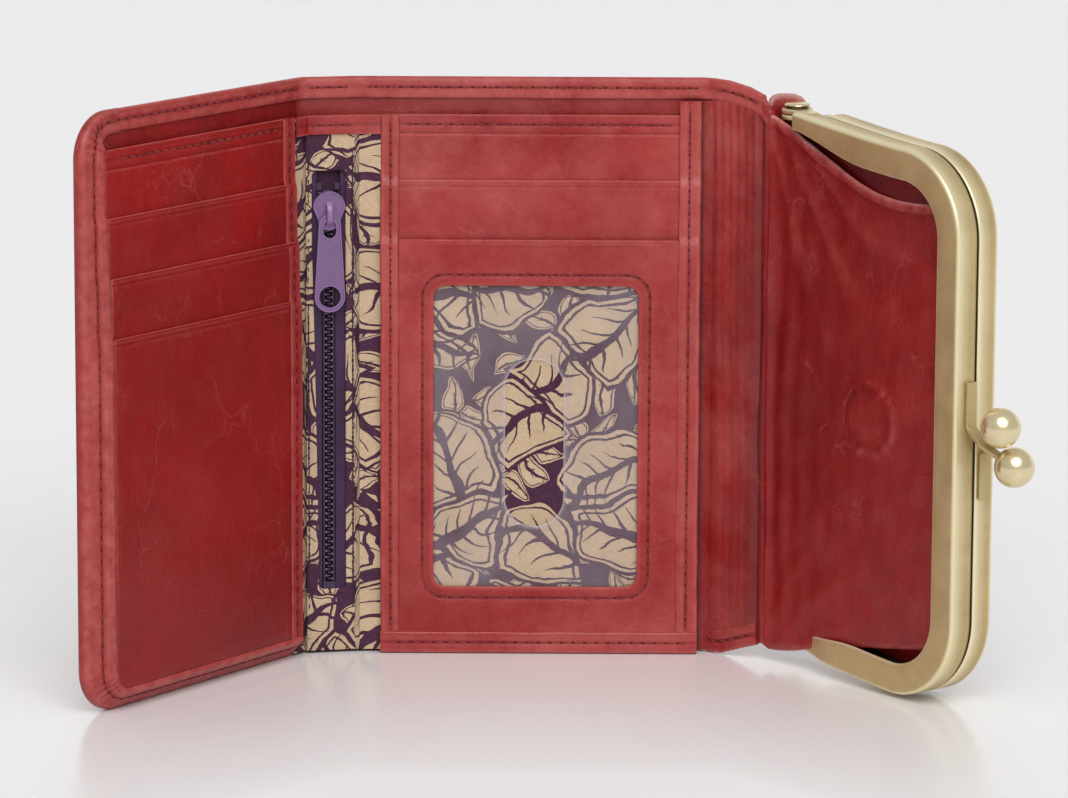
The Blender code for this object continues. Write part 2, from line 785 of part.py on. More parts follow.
def shield_outline(inset):
    """The slider plate's outline: wide shoulders above, narrower below, all corners round."""
    top = slider_top - inset
    bottom = slider_top - slider_length + inset
    wide = slider_width_top / 2 - inset
    narrow = slider_width_bottom / 2 - inset
    radius = slider_width_bottom / 4
    outline = arc((narrow - radius, bottom + radius), radius, -90, 0, 5)
    outline += arc((wide - radius, top - radius), radius, 0, 90, 5)
    outline += arc((-wide + radius, top - radius), radius, 90, 180, 5)
    outline += arc((-narrow + radius, bottom + radius), radius, 180, 270, 5)
    return outline


def zip_slider():
    """Two shield plates, the post between them, side flanges and the arch that holds the pull."""
    empty = slider_axis
    back = as_mesh(plate("zip_slider", [shield_outline(0.0)], slider_back_rise,
                         slider_back_rise + slider_plate, empty, pull_enamel))
    front = as_mesh(plate("slider_front", [shield_outline(0.0)], slider_front_rise, slider_face,
                          empty, pull_enamel))
    boolean(back, front, "UNION")
    inner_low = slider_back_rise + slider_plate - join_overlap
    inner_high = slider_front_rise + join_overlap
    half = slider_post_width / 2
    post = box("slider_post", (-half, inner_low, slider_top - slider_post_length),
               (half, inner_high, slider_top - slider_flange), empty, pull_enamel)
    boolean(back, post, "UNION")
    tape_low = zip_tape_rise - layer_gap
    tape_high = zip_tape_rise + zip_tape_thickness + layer_gap
    low = slider_top - slider_length + slider_width_bottom / 4
    high = slider_top - slider_width_bottom / 4
    for side in (-1, 1):
        for levels in ((inner_low, tape_low), (tape_high, inner_high)):
            rows = []
            for z, width in ((low, slider_width_bottom), (high, slider_width_top)):
                far = side * (width / 2 - join_overlap)
                near = side * (width / 2 - slider_flange)
                rows.append([(near, levels[0], z), (far, levels[0], z),
                             (far, levels[1], z), (near, levels[1], z)])
            flange = loft("slider_flange_%d_%d" % (side, levels[0] == inner_low), rows, empty, pull_enamel)
            boolean(back, flange, "UNION")
    half = slider_arch_width / 2
    radius = slider_arch_rise
    foot = slider_face - join_overlap
    top = slider_top - slider_flange
    bottom = top - slider_arch_length - slider_arch_wire
    outer = [(foot, bottom)] + arc((foot, bottom + radius), radius, -90, 0, 5)[1:]
    outer += arc((foot, top - radius), radius, 0, 90, 5)
    wire = slider_arch_wire
    inner = arc((foot, top - radius), radius - wire, 90, 0, 5)
    inner += arc((foot, bottom + radius), radius - wire, 0, -90, 5)
    section = outer + inner
    arch = as_mesh(bar_along_x("slider_arch", section, -half, half, empty, pull_enamel))
    boolean(back, arch, "UNION")


def zip_pull():
    """The pull hangs from its bar under the slider's arch. Its origin is the bar's axis."""
    half_bar = pull_bar / 2
    ring = pull_ring_diameter / 2
    ring_z = half_bar - pull_length + ring
    top = pull_top_width / 2
    waist = pull_waist_width / 2
    neck_z = -pull_slot_length - pull_bar
    round_radius = pull_bar * 2
    outline = arc((0.0, ring_z), ring, -180 - 25, 25, 18)
    outline += [(waist, (neck_z + ring_z) / 2), (waist, neck_z), (top, neck_z + round_radius)]
    outline += arc((top - round_radius, half_bar - round_radius), round_radius, 0, 90, 4)
    outline += arc((-top + round_radius, half_bar - round_radius), round_radius, 90, 180, 4)
    outline += [(-top, neck_z + round_radius), (-waist, neck_z), (-waist, (neck_z + ring_z) / 2)]
    slot = rectangle(-pull_slot_width / 2, -pull_slot_length, pull_slot_width / 2, -half_bar)
    hole = arc((0.0, ring_z), pull_ring_hole / 2, 0, 337.5, 15)
    plate("zip_pull_tab", [outline, slot, hole], -pull_thickness / 2, pull_thickness / 2,
          pull_axis, pull_enamel)


def right_spine_stations(start, end):
    """(x, low z, high z) along the right spine: its edges close in towards the pouch."""
    stations = []
    for reach_share, rise_share in ((0.0, 0.0), (0.35, 0.1), (0.7, 0.6), (1.0, 1.0)):
        top = panel_height - (panel_height - pouch_top) * rise_share / 3
        stations.append((start + (end - start) * reach_share, pouch_bottom * rise_share, top))
    return stations


def cover_spine_right():
    body = cover_slab("cover_spine_right", right_spine,
                      right_spine_stations(fold_setback, right_spine_width), False, True)
    stations = right_spine_stations(hem_setback, right_spine_width - hem_setback)
    low = [(x, bottom) for x, bottom, top in stations]
    high = [(x, top) for x, bottom, top in stations]
    add_hem(body, right_spine, "right_top_hem", [(x, z - hem_height) for x, z in high] + high[::-1])
    add_hem(body, right_spine, "right_bottom_hem", low + [(x, z + bottom_hem_height) for x, z in low[::-1]])
    outline = [(x, z + bottom_hem_height + layer_gap) for x, z in low]
    outline += [(x, z - hem_height - layer_gap) for x, z in high[::-1]]
    low_rise = half_cover + layer_gap
    right_spine.plate("spine_inner_right", [outline], low_rise, low_rise + slot_thickness, leather)


# Everything on the pouch is placed by (reach, depth, z): reach from the crease, depth behind the frame's
# front face.
def in_pouch(reach, depth, z):
    return (reach, depth - pouch_fold_inset, z)


def pouch_share(reach):
    return min(max((reach - pouch_fold_start) / (pouch_reach - frame_face_width - pouch_fold_start), 0.0), 1.0)


def pouch_edge_top(reach):
    """The leather's upper edge falls from the crease, then levels into the frame's corner."""
    return pouch_top - pouch_top_drop * (1.0 - (1.0 - pouch_share(reach)) ** 1.8)


def pouch_edge_bottom(reach):
    return pouch_bottom + pouch_bottom_rise * pouch_share(reach)


def ease(share):
    share = min(max(share, 0.0), 1.0)
    return share * share * (3 - 2 * share)


def arm_offset(reach, inward, rise):
    """How far inside the frame's straight height a line lies that runs a width inside its outer edge."""
    corner = pouch_reach - frame_corner_radius
    if reach <= corner:
        return inward - rise * (corner - reach) / (corner - frame_arm_start)
    radius = frame_corner_radius - inward
    return frame_corner_radius - sqrt(max(radius * radius - (reach - corner) ** 2, 0.0))


def joggle_share(reach):
    """1 where the back half steps inside the front half at the hinge, 0 past the step."""
    return 1.0 - ease((reach - frame_arm_start) / frame_joggle_length)


def arm_face(reach):
    wide = ease((reach - frame_arm_start) / frame_arm_taper)
    return frame_arm_face + (frame_face_width - frame_arm_face) * wide


def back_edge_top(reach):
    """The back leather runs up into the channel of the frame's upper arm."""
    inward = frame_wall + edge_gap + frame_joggle * joggle_share(reach)
    return frame_top - arm_offset(reach, inward, frame_top_rise)


def back_edge_bottom(reach):
    inward = frame_wall + edge_gap + frame_joggle * joggle_share(reach)
    return frame_bottom + arm_offset(reach, inward, -frame_bottom_rise)


def front_edges(reach):
    return pouch_edge_bottom(reach), pouch_edge_top(reach)


def back_edges(reach):
    return back_edge_bottom(reach), back_edge_top(reach)


def swell(reach, z, edges):
    """From 0 at the pouch's edges to 1 in its middle."""
    low, high = edges(reach)
    upward = min(max((z - low) / (high - low), 0.0), 1.0)
    across = min(max((reach - frame_arm_start) / (pouch_reach - frame_face_width - frame_arm_start), 0.0), 1.0)
    return sin(pi * across) * sin(pi * upward)


def pouch_rows(reaches, depth_at, edges, inset=0.0, levels=12):
    rows = []
    for reach in reaches:
        low, high = edges(reach)
        low += inset
        high -= inset
        row = []
        for i in range(levels + 1):
            z = low + (high - low) * i / levels
            row.append(in_pouch(reach, depth_at(reach, z), z))
        rows.append(row)
    return rows


leather_end = pouch_reach - frame_face_width + channel_insertion - seat_gap


def front_depth(reach, z):
    return pouch_leather_inset - pouch_front_bulge * swell(reach, z, front_edges)


def back_depth(reach, z):
    return pouch_thickness - pouch_leather_inset + pouch_back_bulge * swell(reach, z, back_edges)


def pouch_front():
    rows = pouch_rows(spread(pouch_front_start, leather_end, 14), front_depth, front_edges)
    sheet = loft("pouch_front_leather", rows, pouch_axis, leather, closed=False)
    thicken(smooth(sheet), pouch_leather)
    crease_end = pouch_front_start - seat_gap
    rows = pouch_rows(spread(pouch_crease_start, crease_end, 4), front_depth, front_edges)
    sheet = loft("pouch_crease_leather", rows, pouch_axis, leather, closed=False)
    thicken(sheet, pouch_leather)
    lining_inset = edge_gap + gusset_thickness
    rows = pouch_rows(spread(frame_arm_start, leather_end, 6), lambda reach, z: pouch_lining_inset,
                      front_edges, lining_inset, 4)
    sheet = loft("pouch_front_lining", rows, pouch_axis, plain_fabric, closed=False)
    thicken(sheet, pouch_lining)
    low = pouch_leather_inset + pouch_leather / 2 - pouch_front_bulge + seat_gap
    magnet_disc("magnet_pouch", pouch_axis, magnet_reach, low - pouch_fold_inset,
                low + magnet_thickness - pouch_fold_inset, magnet_height, magnet_diameter, magnet_steel)
    low += magnet_thickness + layer_gap
    magnet_disc("magnet_patch", pouch_axis, magnet_reach, low - pouch_fold_inset,
                low + pouch_lining - pouch_fold_inset, magnet_height, magnet_patch_diameter, leather_dark)


def pouch_back():
    """The back leather starts as the pouch's base at the crease, turns, and runs out to the frame."""
    turn_depth = pouch_thickness - pouch_leather_inset
    centre = (pouch_base_start + pouch_base_radius, turn_depth - pouch_base_radius)
    first_depth = pouch_leather_inset + pouch_leather / 2 + seat_gap + pouch_leather / 2
    places = [(pouch_base_start, first_depth)]
    places += arc(centre, pouch_base_radius, 180, 90, 5)
    rows = []
    levels = 12
    for reach, depth in places:
        low, high = pouch_base_bottom, pouch_base_top
        rows.append([in_pouch(reach, depth, low + (high - low) * i / levels) for i in range(levels + 1)])
    rows += pouch_rows(spread(frame_arm_start, leather_end, 12), back_depth, back_edges, 0.0, levels)
    sheet = loft("pouch_back_leather", rows, pouch_axis, leather, closed=False)
    thicken(smooth(sheet), pouch_leather)
    offset = (pouch_leather + pouch_lining) / 2 + seat_gap
    inset = edge_gap + gusset_thickness
    rows = pouch_rows(spread(frame_arm_start, leather_end, 12),
                      lambda reach, z: back_depth(reach, z) - offset, back_edges, inset, levels)
    sheet = loft("pouch_back_lining", rows, pouch_axis, plain_fabric, closed=False)
    thicken(smooth(sheet), pouch_lining)


def gussets():
    """A V of leather from the front leather's edge to the frame's back half, at the top and the bottom."""
    near = pouch_lining_inset + pouch_lining / 2 + layer_gap + gusset_thickness / 2
    far = pouch_thickness - near
    valley = (near + far) / 2
    for name, edge, level, rise, inward in (
            ("gusset_top", pouch_edge_top, frame_top, frame_top_rise, -1),
            ("gusset_bottom", pouch_edge_bottom, frame_bottom, -frame_bottom_rise, 1)):
        rows = []
        for reach in spread(strap_end + layer_gap, gusset_end, 8):
            rim = edge(reach) + inward * edge_gap
            leg = min(frame_back_leg, arm_face(reach) * 0.8) + frame_joggle * joggle_share(reach)
            back_rim = level + inward * arm_offset(reach, leg + gusset_clearance, rise)
            fold = rim + inward * gusset_depth
            rows.append([in_pouch(reach, near, rim),
                         in_pouch(reach, (near + valley) / 2, rim + (fold - rim) * 0.7),
                         in_pouch(reach, valley, fold),
                         in_pouch(reach, (far + valley) / 2, back_rim + (fold - back_rim) * 0.7),
                         in_pouch(reach, far, back_rim)])
        sheet = loft(name, rows, pouch_axis, leather_dark, closed=False)
        thicken(smooth(sheet), gusset_thickness)


def channel_section(face, back_leg):
    """The frame's C section as (inward, depth) points, from the back leg's tip round to the same tip."""
    deep, wall = frame_half_depth, frame_wall
    radius = min(frame_edge_radius, face * 0.6)
    tip = wall / 2
    leg = min(back_leg, face * 0.8)
    return [
        (leg, deep), (tip, deep), (0.0, deep - tip), (0.0, radius), (radius * 0.3, radius * 0.3),
        (radius, 0.0), (face - tip * 0.6, 0.0), (face, tip * 0.6), (face - tip * 0.2, wall),
        (radius + tip * 0.5, wall), (wall, radius + tip * 0.5), (wall, deep - wall), (leg, deep - wall),
    ]


def frame_stations(joggle):
    """The frame's path from the upper arm's start round to the lower arm's: point, inward way and face width."""
    radius = frame_corner_radius
    corner = pouch_reach - radius
    arm = []
    for share in (0.0, 0.07, 0.18, 0.32, 0.5, 1.0):
        reach = frame_arm_start + (corner - frame_arm_start) * share
        arm.append((reach, joggle * joggle_share(reach), arm_face(reach)))
    stations = []
    for reach, drop, face in arm:
        level = frame_top - arm_offset(reach, drop, frame_top_rise)
        stations.append(((reach, level), (0.0, -1.0), face))
    for centre_z, start in ((frame_top - radius, 90), (frame_bottom + radius, 0)):
        steps = 9
        first = 1 if start == 90 else 0
        last = steps if start == 90 else steps - 1
        for i in range(first, last + 1):
            turn = radians(start - 90 * i / steps)
            point = (corner + radius * cos(turn), centre_z + radius * sin(turn))
            stations.append((point, (-cos(turn), -sin(turn)), frame_face_width))
    for reach, drop, face in arm[::-1]:
        level = frame_bottom + arm_offset(reach, drop, -frame_bottom_rise)
        stations.append(((reach, level), (0.0, 1.0), face))
    return stations


def strap_outline(back):
    """A hinge strap's (reach, depth) outline: an eye round the rivet and a bar out to the channel."""
    middle_depth = pouch_thickness / 2
    near = pouch_leather_inset + pouch_leather / 2 + seat_gap
    far = frame_half_depth - strap_margin
    if back:
        near, far = pouch_thickness - far, pouch_thickness - near
    eye = (hinge_reach, middle_depth)
    outline = [(strap_end, near), (strap_end, far)]
    ends = []
    for corner, side in (((frame_arm_start, far), 1), ((frame_arm_start, near), -1)):
        away = hypot(corner[0] - eye[0], corner[1] - eye[1])
        bearing = atan2(corner[1] - eye[1], corner[0] - eye[0])
        ends.append(degrees(bearing + side * acos(strap_radius / away)))
    outline.append((frame_arm_start, far))
    outline += arc(eye, strap_radius, ends[0], ends[1] + 360, 20)
    outline.append((frame_arm_start, near))
    return [(reach, depth - pouch_fold_inset) for reach, depth in outline]


def frame_half(name, back):
    joggle = frame_joggle if back else 0.0
    rows = []
    for (reach, z), (inward_reach, inward_z), face in frame_stations(joggle):
        row = []
        for inward, depth in channel_section(face, frame_back_leg):
            if back:
                depth = pouch_thickness - depth
            row.append(in_pouch(reach + inward_reach * inward, depth, z + inward_z * inward))
        rows.append(row)
    body = smooth(loft(name, rows, pouch_axis, brass))
    lift = join_overlap / 2
    for level, side in ((hinge_top - joggle, 1), (hinge_bottom + joggle, -1)):
        ends = sorted((level + side * lift, level - side * (strap_thickness - lift)))
        strap = as_mesh(bar_along_z("%s_strap_%d" % (name, side > 0), strap_outline(back), *ends,
                                    pouch_axis, brass))
        boolean(body, strap, "UNION")
    shape = bmesh.new()
    middle_z = (hinge_top + hinge_bottom) / 2
    place = Matrix.Translation((hinge_reach, pouch_thickness / 2 - pouch_fold_inset, middle_z))
    bmesh.ops.create_cone(shape, cap_ends=True, segments=24, radius1=strap_hole_radius,
                          radius2=strap_hole_radius, depth=hinge_top - hinge_bottom + 2 * overrun,
                          matrix=place)
    boolean(body, mesh_object(name + "_rivet_hole", shape, pouch_axis, brass), "DIFFERENCE")
    return body


def frame_packing(name, back):
    """The strip packed into the channel behind the leather's edge."""
    start = leather_end + layer_gap
    end = pouch_reach - frame_wall - seat_gap
    near = frame_wall + seat_gap
    far = frame_half_depth - frame_wall - seat_gap
    if back:
        near, far = pouch_thickness - far, pouch_thickness - near
    low = frame_bottom + frame_corner_radius
    high = frame_top - frame_corner_radius
    box(name, in_pouch(start, near, low), in_pouch(end, far, high), pouch_axis, plain_fabric)


def rivet(name, upper):
    """A domed head outside the straps, a shank through both eyes and a small tail inside."""
    lift = join_overlap / 2
    outer = lift + rivet_gap
    inner = frame_joggle + strap_thickness + rivet_gap
    profile = [(0.0, outer + rivet_head_height)]
    for i in range(1, 6):
        turn = radians(90 * i / 5)
        profile.append((rivet_head_radius * sin(turn), outer + rivet_head_height * cos(turn)))
    profile += [(rivet_radius, outer), (rivet_radius, -inner), (rivet_tail_radius, -inner)]
    profile += [(rivet_tail_radius * 0.8, -inner - rivet_tail_height), (0.0, -inner - rivet_tail_height)]
    shape = bmesh.new()
    points = [shape.verts.new((radius, 0.0, z)) for radius, z in profile]
    for first, second in zip(points, points[1:]):
        shape.edges.new((first, second))
    mesh = bpy.data.meshes.new(name)
    shape.to_mesh(mesh)
    shape.free()
    obj = add_object(name, mesh, pouch_axis, brass)
    level = hinge_top if upper else hinge_bottom
    obj.location = in_pouch(hinge_reach, pouch_thickness / 2, level)
    if not upper:
        obj.rotation_euler = (pi, 0.0, 0.0)
    screw = obj.modifiers.new("turn", "SCREW")
    screw.steps = 20
    screw.render_steps = 20
    screw.use_merge_vertices = True
    screw.merge_threshold = MM * MM
    screw.use_smooth_shade = True
    return obj


clasp_middle = (frame_top + frame_bottom) / 2 - clasp_drop
near_ball_depth = (pouch_thickness + ball_lean) / 2


def clasp_point(reach, depth, z, back):
    """A point of the near clasp, or its mirror across the frame's middle for the far one."""
    if back:
        depth = pouch_thickness - depth
        z = 2 * clasp_middle - z
    return in_pouch(reach, depth, z)


def clasp_ribbon(name, places, width, thickness, back):
    """A flat strip along (reach, depth, z) places. Its width runs along the depth."""
    rows = []
    for i, (reach, depth, z) in enumerate(places):
        before = places[max(i - 1, 0)]
        after = places[min(i + 1, len(places) - 1)]
        along = Vector((after[0] - before[0], after[2] - before[2])).normalized()
        side = (along.y * thickness / 2, -along.x * thickness / 2)
        rows.append([
            clasp_point(reach + side[0], depth - width / 2, z + side[1], back),
            clasp_point(reach + side[0], depth + width / 2, z + side[1], back),
            clasp_point(reach - side[0], depth + width / 2, z - side[1], back),
            clasp_point(reach - side[0], depth - width / 2, z - side[1], back),
        ])
    return loft(name, rows, pouch_axis, brass)


def clasp(side_name, back):
    """A strip on the frame's outer wall that bends out to its ball, which the other ball passes."""
    ball = (pouch_reach + ball_reach, near_ball_depth, clasp_middle - ball_spacing / 2)
    base_reach = pouch_reach + layer_gap + clasp_strip_thickness / 2
    base_depth = frame_half_depth - clasp_base_edge - clasp_strip_width / 2
    base_low = clasp_middle + clasp_base_lift - clasp_base_length / 2
    base_high = base_low + clasp_base_length
    knee = (base_reach, base_depth, base_low)
    pass_share = (base_low - clasp_middle) / (base_low - ball[2])
    passing = (base_reach + (ball[0] - base_reach) * pass_share, base_depth, clasp_middle)
    run = hypot(ball[0] - passing[0], ball[1] - passing[1], ball[2] - passing[2])
    tip_share = 1.0 - (ball_diameter / 2 - clasp_tip_depth) / run
    tip = tuple(a + (b - a) * tip_share for a, b in zip(passing, ball))
    places = [(base_reach, base_depth, base_high), (base_reach, base_depth, (base_low + base_high) / 2), knee]
    places += [tuple(a + (b - a) * share for a, b in zip(knee, passing)) for share in (0.2, 0.6)]
    places += [passing, tuple((a + b) / 2 for a, b in zip(passing, tip)), tip]
    clasp_ribbon("clasp_strip_" + side_name, places, clasp_strip_width, clasp_strip_thickness, back)
    shape = bmesh.new()
    place = Matrix.Translation(clasp_point(*ball, back))
    bmesh.ops.create_uvsphere(shape, u_segments=24, v_segments=14, radius=ball_diameter / 2, matrix=place)
    body = smooth(mesh_object("clasp_ball_" + side_name, shape, pouch_axis, brass))
    reach_on = tuple(a + (b - a) * (1.0 + clasp_tip_gap / run) for a, b in zip(passing, tip))
    tool = clasp_ribbon("clasp_socket_" + side_name, places[-3:-1] + [reach_on],
                        clasp_strip_width + 2 * clasp_tip_gap,
                        clasp_strip_thickness + 2 * clasp_tip_gap, back)
    boolean(body, tool, "DIFFERENCE")


cover_middle()
cover_spine_left()
cover_flap()
middle_pockets()
flap_pockets()
binding_flap()
magnet_flap()
zip_chain()
zip_panel()
zip_slider()
zip_pull()
cover_spine_right()
pouch_front()
pouch_back()
gussets()
frame_half("frame_front", False)
frame_half("frame_back", True)
frame_packing("frame_packing_front", False)
frame_packing("frame_packing_back", True)
rivet("rivet_top", True)
rivet("rivet_bottom", False)
clasp("front", False)
clasp("back", True)
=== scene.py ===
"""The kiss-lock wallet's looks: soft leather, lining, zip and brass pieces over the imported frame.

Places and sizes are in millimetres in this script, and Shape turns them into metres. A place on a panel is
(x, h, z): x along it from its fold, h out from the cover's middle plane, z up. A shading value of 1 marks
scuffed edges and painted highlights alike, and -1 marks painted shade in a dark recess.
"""

from math import acos, atan2, cos, degrees, hypot, pi, radians, sin

import bmesh
import bpy
import numpy as np
from mathutils import Matrix, Vector


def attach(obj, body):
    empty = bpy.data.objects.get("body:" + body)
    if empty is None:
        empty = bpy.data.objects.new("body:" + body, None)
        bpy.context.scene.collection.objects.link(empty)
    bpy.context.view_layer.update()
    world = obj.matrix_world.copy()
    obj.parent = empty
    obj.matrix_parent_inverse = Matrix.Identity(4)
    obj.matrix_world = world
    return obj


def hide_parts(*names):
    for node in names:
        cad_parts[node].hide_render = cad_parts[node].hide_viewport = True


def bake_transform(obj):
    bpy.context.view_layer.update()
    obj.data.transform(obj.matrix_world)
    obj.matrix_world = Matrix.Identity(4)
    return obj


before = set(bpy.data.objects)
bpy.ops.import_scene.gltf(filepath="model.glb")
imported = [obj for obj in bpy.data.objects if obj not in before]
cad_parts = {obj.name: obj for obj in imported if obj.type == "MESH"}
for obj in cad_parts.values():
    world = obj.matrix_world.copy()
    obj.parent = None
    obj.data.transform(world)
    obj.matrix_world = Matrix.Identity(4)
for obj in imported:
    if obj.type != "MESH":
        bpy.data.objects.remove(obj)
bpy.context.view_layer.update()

MM = 0.001
HEIGHT, INTERIOR, SLOT_TOP = 119.0, 111.5, 98.2
LEFT_FOLD, RIGHT_FOLD = -37.4, 34.3
LEFT_WIDTH, RIGHT_WIDTH, FLAP_LENGTH, CORNER = 11.8, 14.4, 69.5, 9.0
SKIN = 0.6  # half the cover's thickness
HEM, HEM_FACE, HEM_SEAM = 4.4, 1.14, 2.1  # its height, its stitches' h and how far they lie below its edge
LAYER, LAYERS = 0.55, (1.95, 2.65, 3.35, 4.05)  # a leather layer's thickness, and the layers' undersides
BAND_LOW, BAND_SEAM = 107.6, 109.5
EDGE_SEAM = 2.45  # how far the lower stitches lie above the cover's edge
STITCH_PITCH, ZIP_PITCH = 2.4, 1.3
BLEND_LEVEL = 60.0  # the height given with the end places of a piece that lies across two bodies


class Panel:
    """A flat stretch of the wallet on one body."""

    def __init__(self, body, origin, angle, inner_side):
        self.body = body
        self.origin = origin
        self.along = (cos(angle), sin(angle))
        self.inner = (-sin(angle) * inner_side, cos(angle) * inner_side)

    def at(self, x, h, z):
        x, h, z = np.broadcast_arrays(np.asarray(x, float), h, z)
        return np.stack([self.origin[0] + x * self.along[0] + h * self.inner[0],
                         self.origin[1] + x * self.along[1] + h * self.inner[1], z * 1.0], axis=-1)

    def end(self, x):
        return (self.origin[0] + x * self.along[0], self.origin[1] + x * self.along[1])


MIDDLE = Panel("middle", (0.0, 0.0), 0.0, -1)
SPINE = Panel("spine_left", (LEFT_FOLD, 0.0), pi + radians(12.0), 1)
FLAP = Panel("flap", SPINE.end(LEFT_WIDTH), pi + radians(54.0), 1)
RIGHT = Panel("spine_right", (RIGHT_FOLD, 0.0), -radians(37.6), -1)
POUCH = Panel("pouch_back", RIGHT.end(RIGHT_WIDTH), -radians(51.0), 1)
POUCH_BODIES = ("pouch_back", "pouch_front")


def in_pouch(u, w, z):
    """u from the crease, w behind the frame's front face."""
    return POUCH.at(u, np.asarray(w, float) - 0.8, z)


def ripple(a, b, size, seed):
    """Soft unevenness, about -1 to 1, whose bumps are about size wide."""
    total = 0.0
    for k in range(5):
        turn = seed * 1.7 + k * 2.4
        rate = 2 * pi / size * (0.62 + 0.23 * k)
        total = total + np.sin((a * cos(turn) + b * sin(turn)) * rate + seed * 5.1 + k * 1.9)
    return total / 3.2


def ease(share):
    share = np.clip(share, 0.0, 1.0)
    return share * share * (3 - 2 * share)


def bump(value, centre, width):
    """1 at the centre, falling to 0 within about one width."""
    return np.exp(-((value - centre) / width) ** 2 * 2.5)


def spin(count):
    """Equal turns round a circle, in radians."""
    return np.arange(count) * 2 * pi / count


def there_and_back(values, drop=0.0):
    return np.concatenate([values, values[::-1] - drop])


class Shape:
    """Collects points, faces, shading values (scuffing, painted highlights and painted shade) and flat print
    coordinates into one mesh.
    """

    def __init__(self):
        self.points = []
        self.wear_and_painted_light = []
        self.uv = []
        self.faces = []
        self.count = 0

    def add(self, points, wear_and_painted_light=0.0, uv=None):
        points = np.asarray(points, float).reshape(-1, 3)
        first = self.count
        self.points.append(points)
        self.wear_and_painted_light.append(np.broadcast_to(np.asarray(wear_and_painted_light, float).reshape(-1), (len(points),)))
        self.uv.append(points[:, [0, 2]] if uv is None else np.asarray(uv, float).reshape(-1, 2))
        self.count += len(points)
        return first

    def grid(self, rows, wear_and_painted_light=0.0, uv=None, around=False, ends=False, back=False):
        """Faces over rows of points. around joins each row into a ring, ends caps the first and last row,
        back closes the sheet behind with one face."""
        rows = np.asarray(rows, float)
        n, m = rows.shape[:2]
        first = self.add(rows, np.broadcast_to(wear_and_painted_light, (n, m)), uv)
        index = first + np.arange(n * m).reshape(n, m)
        for j in range(m if around else m - 1):
            k = (j + 1) % m
            self.faces += np.stack([index[:-1, j], index[:-1, k], index[1:, k], index[1:, j]], axis=-1).tolist()
        if ends:
            self.faces += [index[0, ::-1].tolist(), index[-1].tolist()]
        if back:
            rim = np.concatenate([index[0], index[1:-1, -1], index[-1, ::-1], index[1:-1, 0][::-1]])
            self.faces.append(rim[::-1].tolist())
        return index

    def loft(self, rows, wear_and_painted_light=0.0):
        """A closed section carried along rows, capped at both ends."""
        self.grid(rows, wear_and_painted_light, around=True, ends=True)

    def piece(self, name, surface, body, replaces=(), angle=50.0, slot=None):
        """Makes the mesh. body is one body's name, which the piece is attached to, or (first, second, start, end)
        for a piece across two bodies, which stays fixed in place.
        """
        mesh = bpy.data.meshes.new(name)
        mesh.from_pydata((np.concatenate(self.points) * MM).tolist(), [], self.faces)
        mesh.attributes.new("wear_and_painted_light", "FLOAT", "POINT").data.foreach_set("value", np.concatenate(self.wear_and_painted_light))
        coords = np.concatenate(self.uv) * MM
        corners = np.empty(len(mesh.loops), np.int32)
        mesh.loops.foreach_get("vertex_index", corners)
        mesh.uv_layers.new(name="flat").data.foreach_set("uv", coords[corners].ravel())
        shape = bmesh.new()
        shape.from_mesh(mesh)
        bmesh.ops.recalc_face_normals(shape, faces=shape.faces)
        shape.to_mesh(mesh)
        shape.free()
        mesh.materials.append(surface)
        mesh.shade_smooth()
        mesh.set_sharp_from_angle(angle=radians(angle))
        obj = bpy.data.objects.new(name, mesh)
        bpy.context.scene.collection.objects.link(obj)
        if isinstance(body, tuple):
            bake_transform(obj)
        else:
            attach(obj, body)
        if replaces:
            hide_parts(*replaces)


def solid(name, surface, body, rows, wear_and_painted_light=0.0, replaces=(), uv=None, angle=50.0):
    """One piece from a closed section carried along rows, capped at both ends."""
    shape = Shape()
    shape.grid(rows, wear_and_painted_light, uv, around=True, ends=True)
    shape.piece(name, surface, body, replaces, angle)


# Stations and slabs
def spaced(start, end, step, fine=()):
    """Places from start to end, step apart, and closer near each (centre, half width, step) in fine."""
    count = max(int(round(abs(end - start) / step)), 1)
    places = set(np.round(np.linspace(start, end, count + 1), 3))
    low, high = min(start, end), max(start, end)
    for centre, half, fine_step in fine:
        for place in np.arange(centre - half, centre + half + 1e-6, fine_step):
            if low < place < high:
                places.add(round(float(place), 3))
    ordered = sorted(places)
    kept = [ordered[0]]
    for place in ordered[1:-1]:
        if place - kept[-1] > 0.12:
            kept.append(place)
    return np.array(kept + ordered[-1:])


ROUNDING = ((0.0, 9.0), (0.0, 1.0), (0.12, 0.5), (0.45, 0.14), (1.0, 0.0))
BEHIND = 2.0  # a drop past this is the layer's underside


def rimmed(start, end, radius, step, fine=()):
    """Places across a piece with how far the surface drops there, in radii: rounded at both rims."""
    inside = spaced(start + radius, end - radius, step, fine)[1:-1]
    places = [start + reach * radius for reach, _ in ROUNDING] + list(inside)
    places += [end - reach * radius for reach, _ in ROUNDING[::-1]]
    drops = [drop for _, drop in ROUNDING]
    return np.array(places), np.array(drops + [0.0] * len(inside) + drops[::-1])


def rounded(drop, low, high, radius, rub_and_painted_light, relief, wear_and_painted_light):
    """A layer's height and shading value, from how far each place drops at a rim: lighter rims, scuffing and
    painted highlight, and a darker underside, painted shade.
    """
    face = high - drop * radius + relief * (drop < BEHIND)
    # Rims lighter, scuffing and painted highlight; the hidden underside darker, painted shade.
    shade = np.where(drop > BEHIND, -0.4, np.minimum(drop * 1.4, 1.0) * rub_and_painted_light) + wear_and_painted_light
    return np.where(drop > BEHIND, low, np.maximum(face, low)), shade


